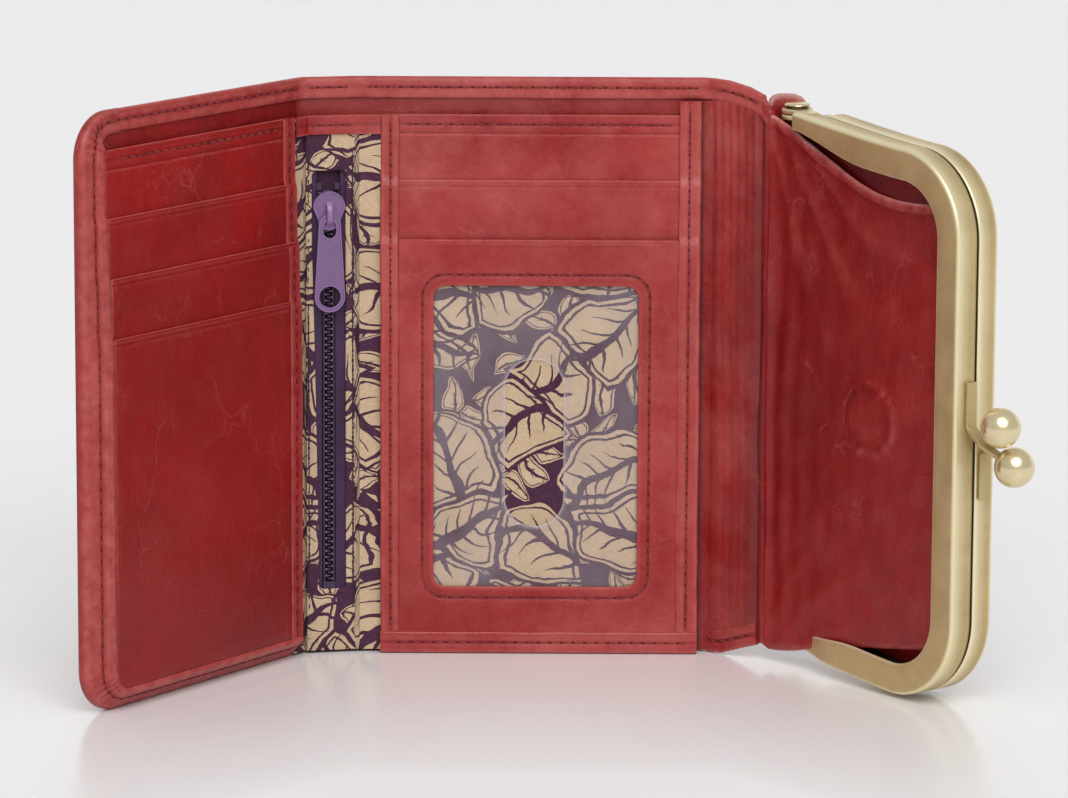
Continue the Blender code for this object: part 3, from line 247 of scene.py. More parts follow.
def slab(name, surface, panel, x_span, z_span, low, high, replaces, radius, step, fine=(),
         relief=lambda x, z: 0.0, wear_and_painted_light=lambda x, z: 0.0, rub_and_painted_light=0.8):
    """A rectangular layer whose face can wave and whose rims are round. relief, and the function after it for
    scuffing and painted light and shade, take (x, z).
    """
    xs, x_drop = rimmed(*x_span, radius, step)
    zs, z_drop = rimmed(*z_span, radius, step, fine)
    x, z = np.meshgrid(xs, zs)
    drop = np.maximum(*np.meshgrid(x_drop, z_drop))
    face, shade = rounded(drop, low, high, radius, rub_and_painted_light, relief(x, z), wear_and_painted_light(x, z))
    shape = Shape()
    shape.grid(panel.at(x, face, z), shade, np.stack([x, z], axis=-1), back=True)
    shape.piece(name, surface, panel.body, [replaces])


def box_outline(left, bottom, right, top, radius, steps=6, side_step=3.0):
    """A rounded rectangle's points and outward ways, counter-clockwise."""
    points, ways = [], []
    corners = ((right - radius, bottom + radius, -90), (right - radius, top - radius, 0),
               (left + radius, top - radius, 90), (left + radius, bottom + radius, 180))
    for i, (x, z, start) in enumerate(corners):
        for k in range(steps + 1):
            turn = radians(start + 90.0 * k / steps)
            points.append((x + radius * cos(turn), z + radius * sin(turn)))
            ways.append((cos(turn), sin(turn)))
        next_x, next_z, next_start = corners[(i + 1) % 4]
        turn = radians(next_start)
        here = np.array(points[-1])
        side = np.array([next_x + radius * cos(turn), next_z + radius * sin(turn)]) - here
        count = max(int(hypot(*side) / side_step), 1)
        for k in range(1, count):
            points.append(tuple(here + side * k / count))
            ways.append(ways[-1])
    return np.array(points), np.array(ways)


def to_rectangle(points, ways, left, bottom, right, top):
    """How far each point goes along its way before it meets the rectangle."""
    reach = []
    for k, low, high in ((0, left, right), (1, bottom, top)):
        place, way = points[:, k], ways[:, k]
        with np.errstate(divide="ignore", invalid="ignore"):
            backward = np.where(way < -1e-6, (low - place) / way, 1e9)
            reach.append(np.where(way > 1e-6, (high - place) / way, backward))
    return np.minimum(*reach)


def ring_slab(name, surface, panel, hole, outer, low, high, near, replaces, radius, far_count, relief, rub_and_painted_light, wear_and_painted_light):
    """A layer between a hole and a rectangle round it. near lists distances from the hole's edge."""
    points, ways = hole
    reach = to_rectangle(points, ways, *outer)
    ways = ways.copy()
    rim = points + ways * reach[:, None]
    for x in (outer[0], outer[2]):
        for z in (outer[1], outer[3]):
            nearest = int(np.argmin(np.hypot(rim[:, 0] - x, rim[:, 1] - z)))
            away = np.array([x, z]) - points[nearest]
            reach[nearest] = hypot(*away)
            ways[nearest] = away / reach[nearest]
    rows = [np.full(len(points), edge * radius) for edge, _ in ROUNDING]
    rows += [np.minimum(distance, reach * 0.8) for distance in near]
    last = rows[-1]
    rows += [last + (reach - radius - last) * k / far_count for k in range(1, far_count + 1)]
    rows += [reach - edge * radius for edge, _ in ROUNDING[-2::-1]]
    drops = [drop for _, drop in ROUNDING]
    drops = drops + [0.0] * (len(near) + far_count) + drops[-2::-1]
    away = np.array(rows)
    drop = np.array(drops)[:, None] + 0.0 * away
    x = np.clip(points[:, 0] + away * ways[:, 0], outer[0], outer[2])
    z = np.clip(points[:, 1] + away * ways[:, 1], outer[1], outer[3])
    face, shade = rounded(drop, low, high, radius, rub_and_painted_light, relief(x, z, away), wear_and_painted_light(x, z, away))
    shape = Shape()
    index = shape.grid(panel.at(x, face, z), shade, np.stack([x, z], axis=-1), around=True)
    for first, second in zip(index.T, np.roll(index, -1, axis=1).T):
        shape.faces.append([int(first[0]), int(first[-1]), int(second[-1]), int(second[0])])
    shape.piece(name, surface, panel.body, [replaces])


class Thread:
    """Rows of sewn stitches, with the needle holes between them as patches, dark on leather as painted shade,
    gathered into two meshes.
    """

    def __init__(self):
        self.thread = Shape()
        self.holes = Shape()

    def line(self, places, inner, pitch=STITCH_PITCH, length=1.45, width=0.42, lift=0.06, cyclic=False):
        """Stitches along places (n, 3). inner is the outward way of the surface."""
        if cyclic:
            places = np.vstack([places, places[:1]])
        steps = np.linalg.norm(np.diff(places, axis=0), axis=1)
        travel = np.concatenate([[0.0], np.cumsum(steps)])
        count = max(int(round(travel[-1] / pitch)), 1)

        def sample(where):
            return np.stack([np.interp(where, travel, places[:, k]) for k in range(3)], axis=-1)

        def frames(where):
            ahead = sample(where + 0.3) - sample(where - 0.3)
            ahead /= np.linalg.norm(ahead, axis=1)[:, None]
            return zip(sample(where), ahead, np.cross(ahead, inner))

        def ring(centre, first, second, turns):
            return centre + np.outer(np.cos(turns), first) + np.outer(np.sin(turns), second)

        for i, (middle, ahead, side) in enumerate(frames((np.arange(count) + 0.5) * travel[-1] / count)):
            wobble = 0.08 * sin(i * 2.3)
            rows = []
            for share, size, rise in ((-0.5, 0.25, -0.16), (-0.36, 0.85, -0.02), (0.0, 1.0, 0.07),
                                      (0.36, 0.85, -0.02), (0.5, 0.25, -0.16)):
                centre = middle + ahead * share * length + side * wobble * share + inner * (rise + lift)
                rows.append(ring(centre, side * width / 2 * size, inner * 0.17 * size, spin(6)))
            self.thread.loft(rows)
        for middle, ahead, side in frames(np.arange(1, count) * travel[-1] / count):
            # Each hole is a patch on the surface; -0.4 darkens it on leather: painted shade.
            self.holes.loft([ring(middle + inner * (rise + lift), ahead * 0.52 * size, side * 0.26 * size, spin(8))
                             for size, rise in ((1.0, 0.0), (0.7, 0.035), (0.2, 0.02))], -0.4)

    def pieces(self, name, body, thread, hole):
        self.thread.piece("stitches_" + name, thread, body, slot="leather")
        self.holes.piece("needle_holes_" + name, hole, body, slot="leather")


threads = {}


def sew(panel, x, h, z, lining=False, **settings):
    """Stitches along (x, h, z) places on a panel."""
    way = np.array([*panel.inner, 0.0])
    threads.setdefault((panel.body, lining), Thread()).line(panel.at(x, h, z), way, **settings)


def add_fold(first, second, reach, count=8):
    """A smooth bend where two panels meet: its plan points and their inner ways."""
    start, end = np.array(first.end(reach[0])), np.array(second.end(reach[1]))
    share = np.linspace(0.0, 1.0, count + 1)[:, None]
    middle = (1 - share) ** 2 * start + 2 * share * (1 - share) * np.array(second.origin) + share ** 2 * end
    inner = np.array(first.inner) * (1 - share) + np.array(second.inner) * share
    return middle, inner / np.linalg.norm(inner, axis=1)[:, None]


def bent(place, way, h, z):
    """The section's points at one place on a fold."""
    return np.stack([place[0] + way[0] * h, place[1] + way[1] * h, z], axis=-1)


def fold_bodies(first, second, start, end):
    return (first.body, second.body, (*start, BLEND_LEVEL), (*end, BLEND_LEVEL))


# Materials
class Surface:
    """A short way to write a procedural material. Colours are written without alpha."""

    def __init__(self, name, roughness=0.5, metallic=0.0):
        self.material = bpy.data.materials.new(name)
        self.material.use_nodes = True
        self.tree = self.material.node_tree
        self.shader = self.tree.nodes["Principled BSDF"]
        self.shade(Roughness=roughness, Metallic=metallic)
        self.object = self.node("ShaderNodeTexCoord").outputs["Object"]

    def node(self, kind, values=None, **settings):
        made = self.tree.nodes.new(kind)
        for key, value in settings.items():
            setattr(made, key, value)
        for key, value in (values or {}).items():
            self.feed(made.inputs[key], value)
        return made

    def feed(self, socket, value):
        if isinstance(value, bpy.types.NodeSocket):
            self.tree.links.new(value, socket)
        else:
            socket.default_value = (*value, 1.0) if socket.type == "RGBA" else value

    def maths(self, operation, a, b=0.0, c=0.0, clamp=False):
        return self.node("ShaderNodeMath", {0: a, 1: b, 2: c}, operation=operation, use_clamp=clamp).outputs[0]

    def times(self, a, b, clamp=False):
        return self.maths("MULTIPLY", a, b, clamp=clamp)

    def less(self, a, b):
        return self.maths("SUBTRACT", a, b)

    def most(self, a, b):
        return self.maths("MAXIMUM", a, b)

    def size(self, a):
        return self.maths("ABSOLUTE", a)

    def vector(self, operation, a, b, c=None):
        values = {0: a, 1: b} if c is None else {0: a, 1: b, 2: c}
        return self.node("ShaderNodeVectorMath", values, operation=operation).outputs[0]

    def parts(self, vector):
        return self.node("ShaderNodeSeparateXYZ", {0: vector}).outputs

    def noise(self, scale, detail=3.0, rough=0.55, stretch=None):
        vector = self.vector("MULTIPLY", self.object, stretch) if stretch else self.object
        made = self.node("ShaderNodeTexNoise", {"Vector": vector, "Scale": scale, "Detail": detail,
                                                "Roughness": rough})
        return made.outputs["Fac"]

    def range(self, value, low, high, to_low=0.0, to_high=1.0):
        return self.node("ShaderNodeMapRange", {"Value": value, "From Min": low, "From Max": high,
                                                "To Min": to_low, "To Max": to_high}).outputs[0]

    def patches(self, scale, detail, low, high, to_low=0.0, to_high=1.0, rough=0.55, stretch=None):
        """Noise with its range spread out."""
        return self.range(self.noise(scale, detail, rough, stretch), low, high, to_low, to_high)

    def cells(self, vector, scale, **settings):
        return self.node("ShaderNodeTexVoronoi", {"Vector": vector, "Scale": scale}, **settings)

    def bend(self, vector, scale, detail, reach):
        """The coordinates pushed about by coloured noise."""
        drift = self.node("ShaderNodeTexNoise", {"Vector": vector, "Scale": scale, "Detail": detail})
        return self.vector("MULTIPLY_ADD", drift.outputs["Color"], reach, vector)

    def mix(self, share, first, second):
        return self.node("ShaderNodeMix", {0: share, 6: first, 7: second}, data_type="RGBA").outputs[2]

    # Positive shading values: scuffing and painted highlights.
    def wear_and_painted_highlight(self):
        return self.most(self.wear_and_painted_light(), 0.0)

    # Negative shading values: painted shade in recesses, grooves, gaps and undersides.
    def deep(self):
        return self.maths("MINIMUM", self.wear_and_painted_light(), 0.0)

    def wear_and_painted_light(self):
        return self.node("ShaderNodeAttribute", attribute_name="wear_and_painted_light").outputs["Fac"]

    def relief(self, height, depth, normal=None):
        values = {"Height": height, "Strength": 1.0, "Distance": depth * MM}
        if normal:
            values["Normal"] = normal
        return self.node("ShaderNodeBump", values).outputs["Normal"]

    def shade(self, **values):
        for key, value in values.items():
            self.feed(self.shader.inputs[key.replace("_", " ")], value)
        return self.material


def leather_surface(name, base, dark, worn_and_lit, dust_and_sheen=0.1, rough=0.36, crease=1.0):
    s = Surface(name)
    tone = s.mix(s.patches(24.0, 4.0, 0.32, 0.66), dark, base)
    tone = s.mix(s.patches(70.0, 4.0, 0.46, 0.75, 0.0, 0.4, 0.6, (1.0, 1.0, 0.4)), tone, dark)
    tone = s.mix(s.patches(43.0, 5.0, 0.5, 0.66, 0.0, 0.5, 0.65), tone, dark)
    # Lighter patches towards the third colour: partly a real bloom on the leather, partly painted sheen.
    dust_and_sheen_patches = s.times(s.patches(62.0, 6.0, 0.38, 0.7, 0.0, dust_and_sheen, 0.68), s.patches(21.0, 3.0, 0.36, 0.6, 0.35, 1.15))
    tone = s.mix(dust_and_sheen_patches, tone, worn_and_lit)
    tone = s.mix(s.patches(150.0, 6.0, 0.6, 0.74, 0.0, 0.5 * dust_and_sheen, 0.72, (1.0, 1.0, 0.5)), tone, worn_and_lit)
    tone = s.mix(s.patches(2300.0, 2.0, 0.5, 0.8, 0.0, 0.12), tone, worn_and_lit)
    bent_place = s.bend(s.object, 190.0, 3.0, (0.009, 0.009, 0.009))
    veins = s.cells(bent_place, 78.0, feature="DISTANCE_TO_EDGE")
    line = s.range(veins.outputs["Distance"], 0.0, 0.02, 1.0, 0.0)
    tone = s.mix(s.times(s.times(line, s.patches(85.0, 3.0, 0.5, 0.64)), 0.3), tone, worn_and_lit)
    # Scuffed edges and painted highlights lighten towards the third colour.
    tone = s.mix(s.times(s.wear_and_painted_highlight(), s.patches(420.0, 4.0, 0.3, 0.65, 0.3, 1.0)), tone, worn_and_lit)
    # Values above 1 turn pale: the most scuffed edges and the brightest painted highlights.
    tone = s.mix(s.maths("SUBTRACT", s.wear_and_painted_light(), 1.0, clamp=True), tone, (0.56, 0.4, 0.36))
    # Values below 0 darken towards near-black: painted shade in recesses, grooves and undersides.
    tone = s.mix(s.times(s.times(s.deep(), -1.0, clamp=True), 0.88), tone, [v * 0.1 for v in dark])
    cells = s.cells(s.object, 1900.0, feature="DISTANCE_TO_EDGE")
    normal = s.relief(s.noise(55.0, 2.0, 0.5), 0.9 * crease)
    normal = s.relief(s.noise(170.0, 5.0, 0.6, (1.0, 1.0, 0.55)), 0.3 * crease, normal)
    normal = s.relief(line, 0.03, normal)
    normal = s.relief(s.range(cells.outputs["Distance"], 0.0, 0.25), 0.02, normal)
    return s.shade(Base_Color=tone, Roughness=s.patches(240.0, 4.0, 0.3, 0.7, rough - 0.05, rough + 0.09),
                   Normal=normal, Specular_IOR_Level=0.42)


def leaf_layer(s, flat, scale, length, width, ribs, thin, shift):
    """One layer of ribbed leaves: where its cloth shows, and how far each place lies inside a leaf."""
    moved = s.vector("MULTIPLY_ADD", flat, (scale, scale, 0.0), (shift, shift * 2, 0.0))
    cells, border = [s.node("ShaderNodeTexVoronoi", {"Vector": moved, "Scale": 1.0, "Randomness": 0.8},
                            voronoi_dimensions="2D", feature=feature) for feature in ("F1", "DISTANCE_TO_EDGE")]
    local = s.vector("SUBTRACT", moved, cells.outputs["Position"])
    angle = s.times(s.parts(cells.outputs["Color"])[0], 6.28)
    turned = s.node("ShaderNodeVectorRotate", {"Vector": local, "Angle": angle}, rotation_type="Z_AXIS")
    along, side = s.parts(turned.outputs[0])[:2]
    away = s.size(s.less(side, s.times(s.times(along, along), 0.35)))
    share = s.maths("DIVIDE", along, length)
    profile = s.times(s.less(1.0, s.times(share, share)), width)
    rim = s.maths("MINIMUM", s.less(profile, away), border.outputs["Distance"])
    inside = s.maths("GREATER_THAN", rim, 0.03)
    phase = s.less(s.times(along, ribs), s.times(away, ribs * 0.9))
    stroke = s.maths("GREATER_THAN", s.maths("SINE", phase), s.maths("ADD", thin, away))
    rib = s.maths("LESS_THAN", away, s.times(s.maths("ADD", profile, 0.03), 0.1))
    contour = s.maths("COMPARE", rim, 0.085, 0.014)
    drawn = s.most(s.most(stroke, rib), contour)
    return s.times(inside, s.less(1.0, drawn)), rim


def woven(s, across, upward, period):
    return s.times(s.maths("SINE", s.times(across, 2 * pi / (period * MM))),
                   s.maths("SINE", s.times(upward, 2 * pi / (period * MM))))


def print_surface():
    """A cream and plum print of large ribbed leaves over small ones, drawn on the cloth's flat coordinates."""
    s = Surface("printed_cotton", 0.82)
    flat = s.node("ShaderNodeUVMap", uv_map="flat").outputs[0]
    for scale, reach in ((95.0, 0.0075), (800.0, 0.0005)):
        flat = s.bend(flat, scale, 1.0, (reach, reach, 0.0))
    large, large_rim = leaf_layer(s, flat, 58.0, 0.86, 0.52, 30.0, 0.72, 0.31)
    small, _ = leaf_layer(s, flat, 150.0, 0.62, 0.34, 22.0, 0.9, 0.7)
    cover = s.most(large, s.times(small, s.maths("LESS_THAN", large_rim, -0.02)))
    ink = s.mix(s.noise(220.0), (0.06, 0.019, 0.046), (0.085, 0.03, 0.066))
    cloth = s.mix(s.noise(160.0), (0.6, 0.44, 0.28), (0.68, 0.52, 0.35))
    tone = s.mix(s.patches(1500.0, 2.0, 0.45, 0.8, 0.0, 0.22), s.mix(cover, ink, cloth), (0.2, 0.12, 0.12))
    place = s.parts(flat)
    normal = s.relief(woven(s, place[0], place[1], 0.42), 0.05, s.relief(s.noise(130.0, 3.0), 0.5))
    return s.shade(Base_Color=tone, Normal=normal, Specular_IOR_Level=0.2)


def cloth_surface(name, base, dark, roughness=0.85, period=0.4):
    s = Surface(name, roughness)
    place = s.parts(s.object)
    weave = woven(s, s.maths("ADD", place[0], place[1]), place[2], period)
    tone = s.mix(s.range(weave, -0.4, 1.0, 0.0, 0.35), s.mix(s.patches(120.0, 4.0, 0.3, 0.7), dark, base), dark)
    return s.shade(Base_Color=tone, Normal=s.relief(weave, 0.06, s.relief(s.noise(200.0, 3.0), 0.25)))


def brass_surface(name, stretch, rough, tarnish, metal):
    """Old brass under a thin matt lacquer, so it is partly diffuse."""
    s = Surface(name, rough, metal)
    streak = s.noise(900.0, 4.0, 0.6, stretch)
    cloud = s.noise(85.0, 4.0)
    tone = s.mix(s.range(cloud, 0.3, 0.7), (0.5, 0.37, 0.17), (0.63, 0.49, 0.25))
    tone = s.mix(s.patches(420.0, 5.0, 0.54, 0.76, 0.0, 0.3 * tarnish, 0.7), tone, (0.32, 0.21, 0.1))
    # Positive values paint bright highlights on the frame's edges and sides, lighten the rivet caps, and give the
    # balls a lighter, yellower tone.
    tone = s.mix(s.wear_and_painted_highlight(), tone, (0.95, 0.86, 0.58))
    # Negative values paint shade in the gap between the frame's halves, inside its channel and under the rivet
    # caps.
    tone = s.mix(s.times(s.deep(), -0.9, clamp=True), tone, (0.05, 0.03, 0.012))
    gloss = s.range(s.maths("ADD", streak, s.times(cloud, 0.5)), 0.5, 1.0, rough - 0.05, rough + 0.08)
    return s.shade(Base_Color=tone, Roughness=gloss, Normal=s.relief(streak, 0.012, s.relief(s.noise(300.0), 0.03)))


def satin_surface(name, base, roughness, metallic=0.0, spot=(0.02, 0.012, 0.03)):
    s = Surface(name, roughness, metallic)
    tone = s.mix(s.patches(300.0, 4.0, 0.35, 0.7, 0.0, 0.35), base, spot)
    # Positive values lighten the plates' rims, and paint a highlight down the slider's bridge.
    tone = s.mix(s.wear_and_painted_highlight(), tone, [min(v * 1.9, 1.0) for v in base])
    return s.shade(Base_Color=tone, Roughness=s.patches(900.0, 3.0, 0.3, 0.7, roughness - 0.06, roughness + 0.08),
                   Normal=s.relief(s.noise(700.0, 2.0), 0.03))


def film_surface():
    s = Surface("clear_film_haze", 0.12)
    # The film is paler and less clear along its thumb slot's cut edge: a painted highlight.
    edge = s.times(s.wear_and_painted_light(), 0.55, clamp=True)
    tone = s.mix(s.noise(90.0), (0.66, 0.6, 0.66), (0.78, 0.73, 0.77))
    return s.shade(Base_Color=tone, Alpha=s.maths("ADD", s.patches(70.0, 4.0, 0.35, 0.7, 0.04, 0.12), edge),
                   Normal=s.relief(s.noise(45.0, 2.0), 0.9))


# The lightest red tints scuffed edges and bloom, and also paints highlights and sheen.
RED, RED_DARK, RED_WORN_AND_LIT = (0.315, 0.0035, 0.005), (0.19, 0.0022, 0.003), (0.5, 0.105, 0.095)
# This lighter copy, with more bloom and painted sheen, serves the middle, the spines and the strips. The flap's
# copy of the same skin is darker and more saturated: painted shade.
LEATHER = leather_surface("wallet_leather", (0.35, 0.01, 0.011), (0.235, 0.005, 0.006), RED_WORN_AND_LIT, 0.66)
FLAP_LEATHER_SHADED = leather_surface("flap_leather_shaded", RED, RED_DARK, RED_WORN_AND_LIT)
# The pouch's leather has its own creases and roughness, and a darker base that paints the pouch's shade.
POUCH_LEATHER_SHADED = leather_surface("pouch_leather_shaded", (0.285, 0.0035, 0.005), (0.185, 0.002, 0.003), RED_WORN_AND_LIT,
                                0.1, 0.4, 1.2)
# The gusset's leather is made brighter than the pouch's: painted light, so it looks lit inside the shaded mouth.
GUSSET_LIT = leather_surface("gusset_leather_lit", (0.42, 0.01, 0.014), (0.28, 0.006, 0.009), RED_WORN_AND_LIT, 0.0, 0.42)
THREAD = cloth_surface("sewing_thread", (0.4, 0.06, 0.056), (0.2, 0.014, 0.016), 0.6, 0.3)
# Dark patches that paint the shade inside the needle holes.
HOLE = leather_surface("needle_hole", (0.2, 0.006, 0.008), (0.13, 0.004, 0.006), RED_DARK, 0.0, 0.7)
PRINT = print_surface()
PLUM = cloth_surface("plum_lining", (0.08, 0.024, 0.06), (0.045, 0.014, 0.035))
TAPE = cloth_surface("zip_tape_cloth", (0.075, 0.03, 0.095), (0.04, 0.016, 0.052), 0.8, 0.5)
DOTS = cloth_surface("zip_stitching", (0.3, 0.25, 0.34), (0.16, 0.12, 0.2), 0.7, 0.3)
COIL = satin_surface("zip_coil", (0.045, 0.026, 0.06), 0.36)
ENAMEL = satin_surface("satin_enamel", (0.215, 0.125, 0.265), 0.36, 0.2, (0.16, 0.085, 0.2))
BRASS = brass_surface("brushed_brass", (1.0, 1.0, 0.12), 0.38, 1.0, 0.55)
BRASS_BALL = brass_surface("polished_brass", (1.0, 1.0, 1.0), 0.2, 0.6, 0.75)
STEEL = satin_surface("magnet_steel", (0.4, 0.4, 0.42), 0.4, 1.0, (0.2, 0.2, 0.22))
FILM = film_surface()


# The flap takes the darker copy of the cover's leather, painted shade; every other panel takes the lighter one.
def hide(panel):
    return FLAP_LEATHER_SHADED if panel is FLAP else LEATHER


# Outer cover: one leather skin, folded over along its top, in rigid stretches, each on one body, and curved ones
# across the folds, fixed in place.
# Each row is h, the part whose end z is counted from, the share or distance there, and a shading value: the scuffed
# hem, top and foot lighter, the inner face a little darker, painted shade.
COVER = [(SKIN, "side", share, -0.15) for share in np.linspace(0.0, 1.0, 13)]
COVER += [(0.75, "hem", 0.0, 0.85), (1.08, "hem", 0.05, 0.85), (1.25, "hem", 0.3, 0.72), (1.22, "hem", 1.2, 0.72),
          (1.14, "hem", 2.05, 0.3), (1.1, "hem", 2.3, 0.3), (1.14, "hem", 2.55, 0.3), (1.22, "hem", 3.2, 0.72),
          (1.12, "top", -0.55, 0.25), (0.8, "top", -0.15, 0.75), (0.3, "top", 0.0, 0.75),
          (-0.2, "top", -0.12, 0.75), (-0.52, "top", -0.5, 0.25), (-SKIN, "top", -1.2, 0.25)]
COVER += [(-SKIN, "side", share, 0.0) for share in np.linspace(1.0, 0.0, 13)[1:-1]]
COVER += [(-SKIN, "foot", 0.9, 0.5), (-0.45, "foot", 0.3, 0.5), (0.0, "foot", 0.0, 0.5), (0.45, "foot", 0.3, 0.5)]
COVER_H, COVER_PART, COVER_SHARE, COVER_WEAR_AND_SHADE = [np.array(column) for column in zip(*COVER)]


def cover_points(low, high, hem, seed, travel):
    """The section's h and z for one place: its lower end, upper end and how much hem is left."""
    foot = max(high - HEM, low + 1.0)
    in_hem = COVER_PART == "hem"
    h = np.where(in_hem, SKIN + (COVER_H - SKIN) * hem, COVER_H)
    side_low = low + 1.4
    side = side_low + (np.where(COVER_H > 0, foot, high - 1.6) - side_low) * COVER_SHARE
    z = np.select([COVER_PART == "side", in_hem, COVER_PART == "top"],
                  [side, foot + COVER_SHARE, high + COVER_SHARE], low + COVER_SHARE)
    soft = 0.07 * ripple(travel, z, 21.0, seed) + 0.04 * ripple(travel, z, 6.0, seed + 3)
    return h + soft * ((h < 0) | in_hem), z


def right_low(x):
    return 3.5 * float(np.interp(x / RIGHT_WIDTH, (0.0, 0.35, 0.7, 1.0), (0.0, 0.1, 0.6, 1.0)))


def right_high(x):
    return HEIGHT - 1.8 * float(np.interp(x / RIGHT_WIDTH, (0.0, 0.35, 0.7, 1.0), (0.0, 0.1, 0.6, 1.5)))


def cover_stretch(name, panel, xs, limits, seed, replaces, thickness=lambda x: 1.0):
    rows = []
    for x in xs:
        hs, zs = cover_points(*limits(x), seed, x)
        rows.append(panel.at(x, hs * thickness(x), zs))
    solid(name, hide(panel), panel.body, rows, COVER_WEAR_AND_SHADE, [replaces])


def cover_fold(name, first, second, reach, limits, seed, inside=0.0, surface=LEATHER):
    """The cover across a fold, between two bodies; the piece stays fixed in place."""
    middle, inner = add_fold(first, second, reach)
    rows, shades = [], []
    for share, place, way in zip(np.linspace(0.0, 1.0, len(middle)), middle, inner):
        hs, zs = cover_points(*limits(share), seed, share * 3)
        rows.append(bent(place, way, hs, zs))
        # The outer face is lighter over the bend, scuffing; inside adds painted shade to the inner face.
        shades.append(COVER_WEAR_AND_SHADE + 0.5 * sin(pi * share) * (hs < 0) + inside * (hs > 0))
    solid(name, surface, fold_bodies(first, second, middle[0], middle[-1]), rows, shades)


FLAP_BEND = FLAP_LENGTH - CORNER  # where the flap's round corners start


def whole(_):
    return 0.0, HEIGHT, 1.0


def right_limits(x):
    return right_low(x), right_high(x), 1.0


def flap_limits(x):
    over = max(x - FLAP_BEND, 0.0)
    bow = CORNER - max(CORNER ** 2 - over ** 2, 0.0) ** 0.5
    return bow, HEIGHT - bow, 1.0 - float(ease((x - 62.0) / 5.5))


def flap_thickness(x):
    """The share of the cover's thickness that is left at its round free edge."""
    return max(max(SKIN ** 2 - max(x - FLAP_LENGTH + SKIN, 0.0) ** 2, 0.0) ** 0.5 / SKIN, 0.12)


def covers():
    cover_stretch("skin_middle", MIDDLE, spaced(LEFT_FOLD + 1.4, RIGHT_FOLD - 1.6, 2.6), whole, 1, "cover_middle")
    cover_fold("skin_fold_left", MIDDLE, SPINE, (LEFT_FOLD + 1.4, 1.4), whole, 1)
    cover_stretch("skin_spine_left", SPINE, spaced(1.4, LEFT_WIDTH - 1.5, 2.2), whole, 4, "cover_spine_left")
    cover_fold("skin_fold_flap", SPINE, FLAP, (LEFT_WIDTH - 1.5, 1.5), whole, 4)
    xs = list(spaced(1.5, FLAP_BEND, 3.0)) + [FLAP_BEND + CORNER * sin(radians(a)) for a in range(9, 82, 8)]
    xs += [FLAP_LENGTH - SKIN * (1 - sin(radians(a))) for a in (0, 30, 55, 75, 90)]
    cover_stretch("skin_flap", FLAP, sorted(xs), flap_limits, 6, "cover_flap", flap_thickness)
    cover_fold("skin_fold_right", MIDDLE, RIGHT, (RIGHT_FOLD - 1.6, 1.6), lambda t: right_limits(1.6 * t), 8)
    cover_stretch("skin_spine_right", RIGHT, spaced(1.6, RIGHT_WIDTH - 0.9, 1.6), right_limits, 8,
                  "cover_spine_right")
    # The fold into the pouch takes the pouch's darker leather and painted shade on its inner face.
    cover_fold("skin_fold_pouch", RIGHT, POUCH, (RIGHT_WIDTH - 0.9, 0.9),
               lambda t: (3.5, 116.3 - 2.9 * t, 1.0 - t), 9, -0.3, POUCH_LEATHER_SHADED)
    for panel, start, end in ((MIDDLE, LEFT_FOLD + 1.6, RIGHT_FOLD - 1.8), (SPINE, 1.4, 10.4), (FLAP, 1.4, 62.5)):
        sew(panel, np.linspace(start, end, 12), HEM_FACE, HEIGHT - HEM_SEAM)
    xs = np.linspace(1.8, 13.0, 6)
    sew(RIGHT, xs, HEM_FACE, [right_high(x) - HEM_SEAM for x in xs])


# Middle panel
def lying(z):
    """How high a border lies on the stack below it: it steps down where a layer ends."""
    return 4.65 - 0.72 * ease((z - 84.8) / 2.6) - 0.72 * ease((z - 96.8) / 2.6)


def groove(value, centre, phase, depth=0.2):
    """A stitch line's groove, deepest at the needle holes."""
    return -depth * bump(value, centre, 0.75) * (0.72 + 0.28 * np.cos(2 * pi * phase / STITCH_PITCH))


def border(name, panel, x0, x1, wall_side, z_high, top, stitch, replaces):
    """A binding strip on the face of the stack with a wall down its outer edge."""
    width, foot, z_low = x1 - x0, LAYERS[0], 4.6
    x, h, rub_and_painted_light = np.array(
        [(0.0, foot, -0.3), (0.0, -0.7, 0.4), (0.07, -0.3, 0.9), (0.3, -0.06, 0.9), (0.62, 0.0, 0.4)]
        + [(x, 0.0, 0.0) for x in spaced(1.0, width - 0.35, 0.45)]
        + [(width - 0.2, -0.04, 0.6), (width - 0.05, -0.2, 0.7), (width, -0.5, -0.3),
           (width - 0.3, -0.58, -0.5), (0.6, -0.58, -0.5), (0.55, foot, -0.5)]).T
    flat = (x > 0.6) & (x < width - 0.3) & (h == 0.0)
    zs = spaced(z_low, z_high, 1.2, [(85.9, 1.8, 0.4), (97.9, 1.8, 0.4)])
    zs = np.concatenate([[z_low, z_low + 0.06], zs[1:-1], [z_high - 0.06, z_high]])
    sinks = np.concatenate([[0.22, 0.05], np.zeros(len(zs) - 4), [0.05, 0.22]])

    def place(reach):
        return x0 + reach if wall_side < 0 else x1 - reach

    rows, shades = [], []
    for z, sink in zip(zs, sinks):
        rise = np.where(h == foot, foot, top(z) + h - sink * (h > -0.55))
        rise = rise + flat * (groove(x, stitch, z, 0.24) + 0.05 * ripple(x * 3, z, 9.0, 2 + stitch))
        rows.append(panel.at(place(x) + 0.07 * ripple(z, 0.0, 17.0, 5 + x0), rise, z))
        # The stitch groove is painted darker, painted shade, with lighter bands beside it; the section's values
        # lighten the rounded edges, scuffing, and darken the wall's foot and underside, painted shade.
        shades.append(rub_and_painted_light + flat * (0.3 - 0.6 * bump(x, stitch, 0.4) + 0.3 * bump(x, stitch + 0.9, 0.35)))
    solid(name, hide(panel), panel.body, rows, shades, [replaces])
    line = np.arange(z_low + 0.5, z_high - 0.4, 1.2)
    sew(panel, place(stitch), top(line) - 0.17, line)


